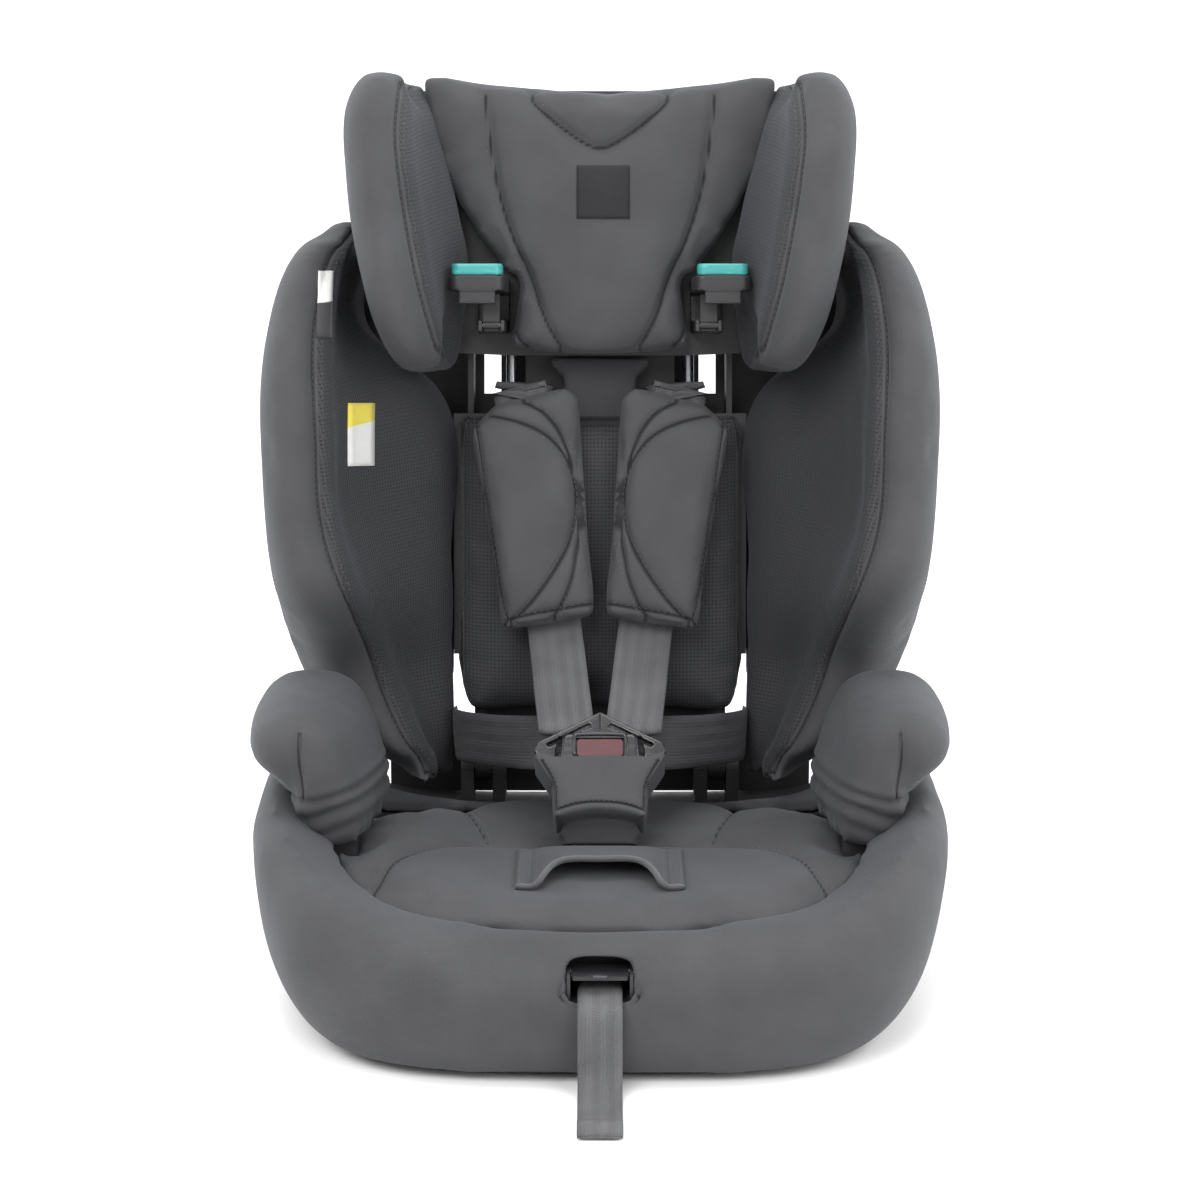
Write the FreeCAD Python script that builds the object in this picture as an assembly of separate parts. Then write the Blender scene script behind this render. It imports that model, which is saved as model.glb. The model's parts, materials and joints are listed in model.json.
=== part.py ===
"""Forward-facing child car seat with a five-point harness, as separate solids in millimetres.

Frame: the origin is on the floor under the middle of the booster base. The child faces -Y, +X is to
the right of someone looking at the seat's front, and +Z is up. The backrest, the headrest and the
harness on them are drawn upright around the recline hinge, with their own y and height, and lean()
then tilts them back. The buckle is drawn upright along its strap, and tilt_buckle() leans it back.
"""

import FreeCAD, Part
import math
import os

os.makedirs("parts", exist_ok=True)

V = FreeCAD.Vector
X_AXIS = V(1, 0, 0)
Y_AXIS = V(0, 1, 0)
Z_AXIS = V(0, 0, 1)
SIDES = {"left": -1, "right": 1}

# ---------------------------------------------------------------- driving dimensions: the base
BASE_HALF_WIDTH = 225.0
BASE_FRONT = -232.0
BASE_REAR = 192.0
BASE_POWER = 3.6            # squareness of the base's outline, where 2 is an ellipse
BOLSTER_TOP = 134.0         # height of the hip bolsters beside the seat
SEAT_HEIGHT = 86.0          # height of the seat's middle near its front edge
SEAT_RISE = 24.0            # how far the seat climbs to the bolsters
SEAT_RISE_HALF = 176.0      # half width at which it has climbed that far
SEAT_RISE_POWER = 4.5
SEAT_ROLL_START = -188.0    # from here forwards the seat rolls over into the front face
SEAT_FRONT_DROP = 30.0
COVER_THICK = 8.0           # padded cover over the base
CUSHION_THICK = 23.0
SHELL_WALL = 3.5
HEM_HEIGHT = 5.0            # the cover's hem stays this far above the floor
RIB_BOTTOM = 12.0
RIB_THICK = 3.0
FOOT_RIB_THICK = 5.0        # the middle cross rib, which stands on the floor
FRONT_RIB_Y = -150.0
REAR_RIB_Y = 111.0
CROTCH_RIB_X = 46.0         # the pair of long ribs that the crotch anchor bears on
OUTER_RIB_X = CROTCH_RIB_X + 50.0
SMALLEST_RIB = 150.0        # slivers of rib below this volume are left out
SKIRT_TOP = 66.0            # the skirt ends here and the deck begins
REAR_WALL_HALF = 150.0
REAR_WALL_Y = 177.5
REAR_WALL_TOP = 122.0
COVER_OPENING_HALF = 168.0  # half width of the gap in the cover behind the backrest
COVER_OPENING_Y = 124.0
CUSHION_HALF_WIDTH = 172.0
CUSHION_FRONT = -187.0
CUSHION_REAR = 118.0
CUSHION_POWER = 2.5
FIT_GAP = 0.4               # clearance round soft parts that sit in a hard one
BODY_GAP = 0.6              # clearance between parts that move past each other

# ---------------------------------------------------------------- armrests
ARMREST_FRONT = -88.0
ARMREST_REAR = 38.0
ARMREST_TOP = 194.0
ARMREST_OUTER = 231.0
ARMREST_INNER_FRONT = 160.0
ARMREST_INNER_REAR = 150.0
ARMREST_NECK = 200.0        # outer face of the neck under the grip
ARMREST_ROOT = 100.0        # how low the armrest reaches into the base
ARMREST_PAD = 9.0
ARMREST_CORE_FRONT = -64.0

# ---------------------------------------------------------------- backrest and its hinge
LEAN_DEG = 10.0
HINGE_Y = 145.0
HINGE_Z = 95.0
PIN_RADIUS = 5.0
PIN_CLEARANCE = 0.06
LUG_INNER = 76.0            # hinge lugs of the backrest, on each side
LUG_WIDTH = 12.0
LUG_RADIUS = 12.0
EAR_WIDTH = 9.0             # base ears on both sides of each lug
BACK_PAD_HALF = 103.0
BACK_PAD_BOTTOM = 38.0
BACK_PAD_TOP = 251.0
BACK_PAD_FRONT = -50.0
BACK_PAD_THICK = 26.0
TAB_HALF = 40.0
TAB_TOP = 295.0
TAB_FRONT = -37.0
TAB_THICK = 8.0
TRAY_REAR = 22.0
TRAY_HALF = 196.0
TRAY_BOTTOM = 64.0
TRAY_TOP = 372.0
TRAY_DEPTH = 34.0
PANEL_FRONT = -23.5
PANEL_THICK = 3.5
WING_CORE_THICK = 5.0

# ---------------------------------------------------------------- headrest
HEAD_TRAVEL = 150.0
HEAD_ROOM_SHARE = 1.02      # the wings leave room for the head wings grown by this share
HEAD_ROOM_MIDDLE = (130.0, -110.0, 376.0)
HEAD_STEP = 25.0            # pitch of the height notches
HEAD_FRONT = -78.0
HEAD_PAD_THICK = 30.0
HEAD_PLATE_THICK = 5.0
CARRIAGE_HALF = 52.0
CARRIAGE_BOTTOM = 150.0
CARRIAGE_FRONT = -17.0
CARRIAGE_THICK = 6.0
BRIDGE_HALF = 36.0
BRIDGE_BOTTOM = 300.0
BRIDGE_TOP = 330.0
RAIL_X = 62.0
RAIL_Y = -1.0
RAIL_RADIUS = 4.0
RAIL_CLEARANCE = 0.08
RAIL_BOTTOM = 90.0
RAIL_TOP = 366.0
LOCK_HEIGHT = 170.0
LOCK_RADIUS = 2.5
LOCK_HALF_LENGTH = 44.0
RACK_X = 30.0
RACK_THICK = 3.0
RACK_REAR = 5.0
LOCK_BAR_Y = -6.5
LEVER_HALF = 30.0
LEVER_PIN_HEIGHT = 448.0
LEVER_PIN_RADIUS = 2.5

# ---------------------------------------------------------------- shoulder belt guides
GUIDE_INNER = 62.0
GUIDE_ROOT_OUTER = 84.0
GUIDE_NOSE_OUTER = 101.0
GUIDE_NOSE = -128.0
GUIDE_HEIGHT = 330.0
GUIDE_ARM_THICK = 10.0
GUIDE_SLOT = 19.0           # height of the slot the car's belt runs through
GUIDE_INSERT_THICK = 8.0
GATE_PIN_RADIUS = 1.5

# ---------------------------------------------------------------- harness
WEBBING_THICK = 1.6
SHOULDER_WEBBING = 37.0
LAP_WEBBING = 36.0
CROTCH_WEBBING = 40.0
ADJUSTER_WEBBING = 27.0
BUCKLE_LEAN_DEG = 40.0
BUCKLE_Y = -52.0            # where the crotch strap leaves the seat
BUCKLE_Z = 90.0
BUCKLE_HALF_WIDTH = 27.0
BUCKLE_THICK = 22.0
BUCKLE_BOTTOM = 30.0
BUCKLE_TOP = 83.0
BUCKLE_WALL = 2.5
BUTTON_HALF_WIDTH = 15.0
BUTTON_TRAVEL = 4.0
BLADE_FRONT_GAP = 2.0       # from the buckle's middle plane to the pressed button
TONGUE_TRAVEL = 25.0
TONGUE_THICK = 4.0
TONGUE_REAR = 1.0           # its back face, behind the buckle's middle plane
TONGUE_HALF_SPAN = 43.0
TONGUE_APEX = 101.0
SHOULDER_PAD_THICK = 20.0
STRAP_TOP = (54.0, -55.0, 258.0)     # where a shoulder strap leaves the back pad, on the backrest
STRAP_BEND = (31.0, -74.0, 100.0)    # where it leaves its pad
STRAP_TAIL = (50.0, -25.0, 269.0)    # its end behind the back pad
LAP_ROUTE = [(34.0, 22.5, 142.0), (59.0, 53.0, 137.0), (85.0, 77.0, 133.0), (99.0, 98.0, 130.0),
             (99.5, 120.0, 126.0)]
STRAP_SWING = 2.6           # how far it comes forward as the backrest starts to recline

# ---------------------------------------------------------------- harness adjuster
ADJUSTER_HALF = 20.0
ADJUSTER_REAR = -190.0
ADJUSTER_FRONT = -223.0
ADJUSTER_HEIGHT = 19.0
ADJUSTER_Z = 60.0
ADJUSTER_WALL = 2.0
COVER_SLOT_HALF = 23.0
COVER_SLOT_HEIGHT = 11.0
CAM_PIN_Y = -200.0
LEVER_LIFT = 5.5            # headroom over the adjuster for its lever
CAM_RADIUS = 4.0
# The strap's free run from the adjuster, over the slot's lip and down to the floor: (y, z) points.
ADJUSTER_ROUTE = [(-185.0, 57.4), (-212.0, 57.6), (-239.5, 56.0), (-242.0, 33.0), (-241.5, 13.0),
                  (-253.0, 1.6), (-279.0, 2.6), (-311.0, 1.3)]

# ---------------------------------------------------------------- ISOFIX arms
ISOFIX_X = 140.0            # half of the standard 280 mm spacing
ISOFIX_Z = 36.0
ISOFIX_ARM_WIDTH = 24.0
ISOFIX_ARM_HEIGHT = 16.0
ISOFIX_HEAD_WIDTH = 32.0
ISOFIX_HEAD_HEIGHT = 30.0
ISOFIX_HEAD_FRONT = 160.0
ISOFIX_HEAD_REAR = 236.0
HOOK_PIN_Y = ISOFIX_HEAD_REAR - 40.0
HOOK_PIN_Z = ISOFIX_Z + 7.0
HOOK_PIN_RADIUS = 1.5
ISOFIX_TRAVEL = 90.0
ANCHOR_BAR_RADIUS = 3.0     # the car's anchor bar
ISOFIX_SLOT = 8.0


# ================================================================ helpers
def box(x0, x1, y0, y1, z0, z1):
    """A block between two corners."""
    return Part.makeBox(x1 - x0, y1 - y0, z1 - z0, V(x0, y0, z0))


def rod(centre, axis, radius, length):
    """A cylinder whose middle is at centre."""
    direction = V(axis).normalize()
    return Part.makeCylinder(radius, length, V(centre) - direction * (length / 2), direction)


def closed_curve(points):
    """A smooth closed wire through points."""
    curve = Part.BSplineCurve()
    curve.interpolate(points, PeriodicFlag=True)
    return Part.Wire(curve.toShape())


def outline_face(points):
    """A flat face inside a closed polygon."""
    return Part.Face(Part.makePolygon(points + [points[0]]))


def upright(pairs, y):
    """Corners in the upright plane at y, from (x, z) pairs."""
    return [V(x, y, z) for x, z in pairs]


def level(pairs, z):
    """Corners at height z, from (x, y) pairs."""
    return [V(x, y, z) for x, y in pairs]


def rounded_prism(corners, radius, direction):
    """Extrudes a polygon along direction and rounds the edges that run along it."""
    solid = outline_face(corners).extrude(direction)
    along = V(direction).normalize()
    edges = [e for e in solid.Edges if abs(abs(e.tangentAt(e.FirstParameter).dot(along)) - 1) < 1e-6]
    return solid.makeFillet(radius, edges)


def soften(solid, radius, direction):
    """Rounds the rims at both ends of a prism that was extruded along direction."""
    along = V(direction).normalize()
    faces = [f for f in solid.Faces if f.Surface.TypeId == "Part::GeomPlane"
             and abs(abs(f.normalAt(0, 0).dot(along)) - 1) < 1e-6]
    edges = [e for f in faces for e in f.Edges]
    return solid.makeFillet(radius, edges)


def strap(stations, width, thick=WEBBING_THICK):
    """Webbing through stations of (centre, width direction, normal)."""
    wires = []
    for centre, across, normal in stations:
        w = V(across).normalize() * (width / 2)
        t = V(normal).normalize() * (thick / 2)
        c = V(centre)
        wires.append(Part.makePolygon([c - w - t, c + w - t, c + w + t, c - w + t, c - w - t]))
    return Part.makeLoft(wires, True, True)


def lean(shape):
    """Takes a shape from the upright backrest frame into the seat's frame."""
    placed = shape.copy()
    placed.rotate(V(0, 0, 0), X_AXIS, -LEAN_DEG)
    placed.translate(V(0, HINGE_Y, HINGE_Z))
    return placed


def lean_point(x, y, height):
    """A point of the upright backrest frame, in the seat's frame."""
    a = math.radians(LEAN_DEG)
    return V(x, HINGE_Y + y * math.cos(a) + height * math.sin(a),
             HINGE_Z - y * math.sin(a) + height * math.cos(a))


def tilt_buckle(shape):
    """Takes a shape from the buckle's upright frame into the seat's frame."""
    placed = shape.copy()
    placed.rotate(V(0, 0, 0), X_AXIS, -BUCKLE_LEAN_DEG)
    placed.translate(V(0, BUCKLE_Y, BUCKLE_Z))
    return placed


def mirrored(shape, side):
    """The right-hand shape itself, or its mirror image for the left side."""
    return shape if side > 0 else shape.mirror(V(0, 0, 0), X_AXIS)


def save(name, shape):
    """Writes one node's solids."""
    solids = shape.Solids
    volume = sum(s.Volume for s in solids)
    print(f"{name:24s} solids {len(solids)}  {volume / 1000:9.2f} cm3  valid {shape.isValid()}")
    whole = solids[0] if len(solids) == 1 else Part.makeCompound(solids)
    whole.exportStep(f"parts/{name}.step")
    return whole


# ================================================================ base
# Height, share of the half width, and how far the front is set back, from the floor up.
BASE_SECTIONS = [
    (0.0, 0.76, 20.0), (9.0, 0.85, 8.0), (36.0, 0.93, 0.5), (62.0, 0.965, 2.0),
    (86.0, 0.985, 14.0), (110.0, 1.0, 38.0), (126.0, 0.975, 62.0), (BOLSTER_TOP, 0.90, 86.0),
]
OUTLINE_POINTS = 28


def superellipse(half_x, y_front, y_rear, z, power):
    """A closed rounded outline at height z."""
    middle, half_y = (y_front + y_rear) / 2, (y_rear - y_front) / 2
    points = []
    for i in range(OUTLINE_POINTS):
        a = 2 * math.pi * i / OUTLINE_POINTS
        c, s = math.cos(a), math.sin(a)
        points.append(V(math.copysign(abs(c) ** (2 / power), c) * half_x,
                        middle + math.copysign(abs(s) ** (2 / power), s) * half_y, z))
    return closed_curve(points)


def base_block(inset, bottom_drop=0.0):
    """The base's rounded body, drawn in by inset all round."""
    wires = []
    for z, share, set_back in BASE_SECTIONS:
        height = z - (inset if z == BOLSTER_TOP else 0.0) - (bottom_drop if z == 0.0 else 0.0)
        wires.append(superellipse(BASE_HALF_WIDTH * share - inset, BASE_FRONT + set_back + inset,
                                  BASE_REAR - 0.25 * set_back - inset, height, BASE_POWER))
    return Part.makeLoft(wires, True, False)


def seat_surface(x, y):
    """Height of the seat's top surface."""
    climb = SEAT_RISE * min(2.0, (abs(x) / SEAT_RISE_HALF) ** SEAT_RISE_POWER)
    front_roll = SEAT_FRONT_DROP * (max(0.0, SEAT_ROLL_START - y) / (SEAT_ROLL_START - BASE_FRONT)) ** 3
    rear_drop = 0.028 * max(0.0, y + 120.0)
    return SEAT_HEIGHT + climb - front_roll - rear_drop


def above_seat(drop):
    """Everything above the seat's surface, lowered by drop."""
    wires = []
    for y in (-262.0, -232.0, -200.0, -160.0, -60.0, 60.0, 230.0):
        bottom = Part.BSplineCurve()
        bottom.interpolate([V(x, y, seat_surface(x, y) - drop) for x in range(-250, 251, 50)])
        low_left, low_right = bottom.value(bottom.FirstParameter), bottom.value(bottom.LastParameter)
        high_left, high_right = V(-250, y, 260), V(250, y, 260)
        wires.append(Part.Wire([bottom.toShape(), Part.makeLine(low_right, high_right),
                                Part.makeLine(high_right, high_left), Part.makeLine(high_left, low_left)]))
    return Part.makeLoft(wires, True, False)


def cushion_column(grow):
    """An upright column with the cushion's outline, grown by a margin."""
    outline = superellipse(CUSHION_HALF_WIDTH + grow, CUSHION_FRONT - grow, CUSHION_REAR + grow,
                           20.0, CUSHION_POWER)
    return Part.Face(outline).extrude(V(0, 0, 240))


def armrest_section(y, share):
    """The armrest's mushroom-shaped cross-section, shrunk towards its middle by share."""
    t = (y - ARMREST_FRONT) / (ARMREST_REAR - ARMREST_FRONT)
    inner = ARMREST_INNER_FRONT + (ARMREST_INNER_REAR - ARMREST_INNER_FRONT) * t
    outer, top, neck, root = ARMREST_OUTER, ARMREST_TOP, ARMREST_NECK, ARMREST_ROOT
    outline = [(inner - 14, root), (inner - 10, root + 28), (inner - 2, root + 58), (inner + 12, top - 8),
               (inner + 32, top), (outer - 18, top - 3), (outer - 2, top - 20), (outer - 3, top - 38),
               (neck + 8, top - 56), (neck, top - 72), (neck + 2, root)]
    middle_x, middle_z = (inner + outer) / 2 - 8, top - 26
    return closed_curve([V(middle_x + (x - middle_x) * share, y, middle_z + (z - middle_z) * share)
                         for x, z in outline])


def armrest_block():
    """The right armrest, from its rounded nose to its rear end."""
    stations = [(0.0, 0.34), (4.0, 0.58), (14.0, 0.82), (32.0, 0.95), (60.0, 1.0), (100.0, 1.0)]
    wires = [armrest_section(ARMREST_FRONT + d, share) for d, share in stations]
    wires.append(armrest_section(ARMREST_REAR, 0.95))
    return Part.makeLoft(wires, True, False)


def armrest_core(inset):
    """The hard core of the right armrest, drawn in by inset."""
    outline = [(157, 92), (161, 128), (169, 158), (182, 182), (210, ARMREST_TOP - 11), (219, 172), (218, 158),
               (200, 142), (ARMREST_NECK - ARMREST_PAD, 122), (192, 92)]
    start, length = ARMREST_CORE_FRONT + inset, ARMREST_REAR - ARMREST_PAD - ARMREST_CORE_FRONT - 2 * inset
    wire = Part.makePolygon([V(x, start, z) for x, z in outline + [outline[0]]])
    if inset > 0:
        wire = wire.makeOffset2D(-inset)
    return Part.Face(wire).extrude(V(0, length, 0))


def hinge_ear(x_low):
    """One ear of the base that carries a hinge pin."""
    reach = LUG_RADIUS + 4
    plate = box(x_low, x_low + EAR_WIDTH, HINGE_Y - reach, HINGE_Y + reach, SKIRT_TOP, HINGE_Z)
    head = rod((x_low + EAR_WIDTH / 2, HINGE_Y, HINGE_Z), X_AXIS, LUG_RADIUS + 1, EAR_WIDTH)
    return plate.fuse(head)


def rib_grid(cavity, cuts):
    """Cross ribs and, between them, long ribs under the deck. The middle cross rib stands on the floor."""
    half = RIB_THICK / 2
    cross = [box(-200, 200, y - half, y + half, RIB_BOTTOM, 90) for y in (FRONT_RIB_Y, REAR_RIB_Y)]
    cross.append(box(-200, 200, -FOOT_RIB_THICK / 2, FOOT_RIB_THICK / 2, 0, 90))
    lengthwise = [box(x - half, x + half, -215, 180, RIB_BOTTOM, 90).cut(cross)
                  for x in (-OUTER_RIB_X, -CROTCH_RIB_X, CROTCH_RIB_X, OUTER_RIB_X)]
    solids = []
    for rib in cross + lengthwise:
        solids += rib.common(cavity).cut(cuts).Solids
    return Part.makeCompound([solid for solid in solids if solid.Volume > SMALLEST_RIB])


def make_base():
    """Shell, skirt, ribs, cover, cushion, armrest pads, hinge pins and the base's fixed hardware."""
    outer, core = base_block(0.0), base_block(COVER_THICK)
    cavity_block = base_block(COVER_THICK + SHELL_WALL, bottom_drop=2.0)
    over_seat = above_seat(0.0)
    over_cover = above_seat(COVER_THICK)
    over_floor = above_seat(CUSHION_THICK)
    column = cushion_column(0.0)

    body = outer.cut(over_seat)
    core_body = core.cut(over_cover)
    shell = core_body.cut(column.common(over_floor))
    thick_column = cushion_column(SHELL_WALL)
    cavity = cavity_block.cut(above_seat(COVER_THICK + SHELL_WALL))
    cavity = cavity.cut(thick_column.common(above_seat(CUSHION_THICK + SHELL_WALL)))

    arms = {side: mirrored(armrest_block(), s) for side, s in SIDES.items()}
    cores = {side: mirrored(armrest_core(0.0), s) for side, s in SIDES.items()}
    hollows = {side: mirrored(armrest_core(SHELL_WALL), s) for side, s in SIDES.items()}

    shell = shell.fuse([cores["left"], cores["right"]])
    shell = shell.cut([cavity, hollows["left"], hollows["right"]])

    # Ears for the hinge pins, and a wall that closes the gap under the backrest.
    wall_corners = [(-REAR_WALL_HALF, SKIRT_TOP), (REAR_WALL_HALF, SKIRT_TOP),
                    (REAR_WALL_HALF, REAR_WALL_TOP), (-REAR_WALL_HALF, REAR_WALL_TOP)]
    rear_wall = rounded_prism(upright(wall_corners, REAR_WALL_Y), 3.0, V(0, SHELL_WALL, 0))
    ears = [rear_wall]
    for s in SIDES.values():
        for x_low in (LUG_INNER - EAR_WIDTH - BODY_GAP, LUG_INNER + LUG_WIDTH + BODY_GAP):
            ears.append(mirrored(hinge_ear(x_low), s))
    shell = shell.fuse(ears)

    # Room for the lugs, the ISOFIX arms and heads, the crotch strap, the adjuster and the pins.
    cuts = []
    pin_length = LUG_WIDTH + 2 * EAR_WIDTH + 2 * BODY_GAP
    lug_middle = LUG_INNER + LUG_WIDTH / 2
    pins = []
    for s in SIDES.values():
        low = s * lug_middle - LUG_WIDTH / 2 - BODY_GAP
        cuts.append(box(low, low + LUG_WIDTH + 2 * BODY_GAP, HINGE_Y - LUG_RADIUS - 9,
                        HINGE_Y + LUG_RADIUS + 9, HINGE_Z - LUG_RADIUS - 5, HINGE_Z + 60))
        pins.append(rod((s * lug_middle, HINGE_Y, HINGE_Z), X_AXIS, PIN_RADIUS, pin_length))
        arm_low = s * ISOFIX_X - ISOFIX_HEAD_WIDTH / 2 - 2
        cuts.append(box(arm_low, arm_low + ISOFIX_HEAD_WIDTH + 4, ISOFIX_HEAD_FRONT - 45, 260,
                        ISOFIX_Z - ISOFIX_HEAD_HEIGHT / 2 - 2, ISOFIX_Z + ISOFIX_HEAD_HEIGHT / 2 + 9))
    cuts.append(box(-ISOFIX_X - 20, ISOFIX_X + 20, -75, 150, ISOFIX_Z - 13, ISOFIX_Z + 12))
    slot_half = CROTCH_WEBBING / 2 + 2
    crotch_slot = box(-slot_half, slot_half, BUCKLE_Y - 8, BUCKLE_Y + 3, 30, 130)
    cuts.append(crotch_slot)
    room_half = ADJUSTER_HALF + FIT_GAP
    room_low = ADJUSTER_Z - ADJUSTER_HEIGHT / 2 - FIT_GAP
    room_high = ADJUSTER_Z + ADJUSTER_HEIGHT / 2 + LEVER_LIFT
    adjuster_room = box(-room_half, room_half, -240, ADJUSTER_REAR + FIT_GAP, room_low, room_high)
    cuts.append(adjuster_room)
    shell = shell.cut(cuts + pins)
    under = box(-300, 300, -300, 300, -20, SKIRT_TOP)
    save("base_skirt", max(shell.common(under).Solids, key=lambda solid: solid.Volume))
    shell = max(shell.cut(under).Solids, key=lambda solid: solid.Volume)
    save("base_shell", shell)
    save("base_ribs", rib_grid(cavity, cuts))

    cover = body.cut([core_body, column])
    cover = cover.cut([cores["left"], cores["right"]])
    cover = cover.cut([
        box(-300, 300, -300, 300, -10, HEM_HEIGHT),
        box(-COVER_OPENING_HALF, COVER_OPENING_HALF, COVER_OPENING_Y, 300, -10, 300),
        box(-COVER_SLOT_HALF, COVER_SLOT_HALF, -260, -150, ADJUSTER_Z - COVER_SLOT_HEIGHT / 2,
            ADJUSTER_Z + COVER_SLOT_HEIGHT / 2),
        box(-room_half, room_half, ADJUSTER_FRONT - FIT_GAP, -150, room_low, room_high),
    ])
    save("base_cover", cover)

    cushion = cushion_column(-FIT_GAP).cut(over_seat).common(above_seat(CUSHION_THICK - FIT_GAP))
    cushion = cushion.cut([cores["left"], cores["right"], crotch_slot, arms["left"], arms["right"]])
    cushion = cushion.cut(shell)
    save("seat_cushion", max(cushion.Solids, key=lambda solid: solid.Volume))

    for side in SIDES:
        pad = arms[side].cut([body, cores[side], box(-300, 300, -300, 300, -10, ARMREST_ROOT + 12)])
        save(f"armrest_pad_{side}", max(pad.Solids, key=lambda solid: solid.Volume))
    save("hinge_pins", Part.makeCompound(pins))


# ================================================================ harness adjuster
def route_runs(points):
    """Straight runs joined by tangent arcs: a list of edges, and the arcs' radii."""
    edges, radii = [], []
    start = V(0, *points[0])
    for i in range(1, len(points) - 1):
        before, corner, after = (V(0, *points[k]) for k in (i - 1, i, i + 1))
        a, b = (before - corner), (after - corner)
        run = min(a.Length, b.Length)
        a.normalize()
        b.normalize()
        turn = math.pi - a.getAngle(b)
        reach = 0.45 * run
        radii.append(reach / math.tan(turn / 2))
        bisector = (a + b).normalize()
        middle = corner + bisector * (radii[-1] / math.cos(turn / 2) - radii[-1])
        first, last = corner + a * reach, corner + b * reach
        edges.append(Part.makeLine(start, first))
        edges.append(Part.Arc(first, middle, last).toShape())
        start = last
    edges.append(Part.makeLine(start, V(0, *points[-1])))
    return edges, radii


def flat_cord(points, width, thick):
    """Webbing whose middle line follows a route in the YZ plane."""
    edges, radii = route_runs(points)
    print("adjuster strap: length %.0f mm, arc radii" % sum(e.Length for e in edges),
          " ".join(f"{r:.0f}" for r in radii))
    spine = Part.Wire(edges)
    start, tangent = V(0, *points[0]), edges[0].tangentAt(edges[0].FirstParameter)
    across = X_AXIS * (width / 2)
    normal = tangent.cross(X_AXIS).normalize() * (thick / 2)
    profile = Part.makePolygon([start - across - normal, start + across - normal,
                                start + across + normal, start - across + normal,
                                start - across - normal])
    tube = spine.makePipeShell([profile], True, False)
    expected = width * thick * spine.Length
    print("adjuster strap: volume over section times length %.3f" % (tube.Volume / expected))
    return tube


def make_adjuster():
    """Housing, cam lever and the pull strap at the front of the base."""
    half, low, high = ADJUSTER_HALF, ADJUSTER_Z - ADJUSTER_HEIGHT / 2, ADJUSTER_Z + ADJUSTER_HEIGHT / 2
    housing = box(-half, half, ADJUSTER_FRONT, ADJUSTER_REAR, low, high)
    room = box(-half + ADJUSTER_WALL, half - ADJUSTER_WALL, ADJUSTER_FRONT - 1, ADJUSTER_REAR + 1,
               low + ADJUSTER_WALL, high + 1)
    pin_z = high - 5.0
    pin_hole = rod((0, CAM_PIN_Y, pin_z), X_AXIS, 2.0, 2 * half)
    save("adjuster_housing", housing.cut([room, pin_hole]))
    save("adjuster_pin", pin_hole)
    lever_half = half - ADJUSTER_WALL - BODY_GAP
    cam = rod((0, CAM_PIN_Y, pin_z), X_AXIS, CAM_RADIUS, 2 * lever_half)
    tip = ADJUSTER_FRONT + 1.0
    heel = CAM_PIN_Y + 2
    corners = [(-lever_half, tip), (lever_half, tip), (lever_half, heel), (-lever_half, heel)]
    tongue = rounded_prism(level(corners, pin_z + 1), 2.0, V(0, 0, 2.5))
    lever = cam.fuse(tongue).cut(rod((0, CAM_PIN_Y, pin_z), X_AXIS, 2.0 + PIN_CLEARANCE, 2 * half))
    save("adjuster_lever", lever)
    save("adjuster_strap", flat_cord(ADJUSTER_ROUTE, ADJUSTER_WEBBING, WEBBING_THICK))


# ================================================================ backrest
# Height, outer x, front seam x, nose y, and inner rear x of the right side wing.
WING_SECTIONS = [
    (-4.0, 124.0, 112.0, -86.0, 104.0), (14.0, 148.0, 121.0, -92.0, 104.0),
    (46.0, 184.0, 139.0, -98.0, 104.0), (75.0, 200.0, 150.0, -105.0, 104.0),
    (100.0, 207.0, 158.0, -138.0, 104.0), (130.0, 212.0, 167.0, -178.0, 104.0),
    (180.0, 217.0, 181.0, -186.0, 104.0), (235.0, 220.0, 184.0, -186.0, 104.0),
    (272.0, 219.0, 186.0, -184.0, 122.0), (302.0, 216.0, 185.0, -178.0, 160.0),
    (336.0, 209.0, 181.0, -160.0, 168.0), (362.0, 196.0, 173.0, -128.0, 160.0),
    (378.0, 178.0, 160.0, -92.0, 148.0),
]


def wing_section(height, outer, seam, nose, inner):
    """One level of a side wing: a wedge that is thick at the back and rounded at the nose."""
    rear = 8.0
    band = outer - seam
    middle_x, middle_y = (inner + seam) / 2 + 6, (nose + rear) / 2 - 8
    return closed_curve([
        V(seam - 5, nose + 24, height), V(seam + 0.10 * band, nose + 6, height),
        V(seam + 0.42 * band, nose, height), V(outer - 0.20 * band, nose + 12, height),
        V(outer, nose + 46, height), V(outer - 2, (nose + rear) / 2 + 8, height),
        V(outer - 0.05 * (outer - inner), rear - 34, height),
        V(outer - 0.22 * (outer - inner), rear - 6, height),
        V((outer + inner) / 2, rear, height), V(inner + 10, rear - 3, height), V(inner, rear - 16, height),
        V(inner + 2, rear - 42, height), V(middle_x, middle_y, height),
    ])


def wing_block():
    """The right side wing."""
    return Part.makeLoft([wing_section(*row) for row in WING_SECTIONS], True, False)


def tray_wire(half, front, rear, height):
    """A rounded box outline with lines and corner arcs, for the shell's tray."""
    r = min(26.0, (rear - front) / 2 - 1)
    k = r * (1 - math.sqrt(0.5))
    p = [V(-half + r, rear, height), V(half - r, rear, height), V(half - k, rear - k, height),
         V(half, rear - r, height), V(half, front, height), V(-half, front, height),
         V(-half, rear - r, height), V(-half + k, rear - k, height)]
    return Part.Wire([Part.makeLine(p[0], p[1]), Part.Arc(p[1], p[2], p[3]).toShape(),
                      Part.makeLine(p[3], p[4]), Part.makeLine(p[4], p[5]), Part.makeLine(p[5], p[6]),
                      Part.Arc(p[6], p[7], p[0]).toShape()])


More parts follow.
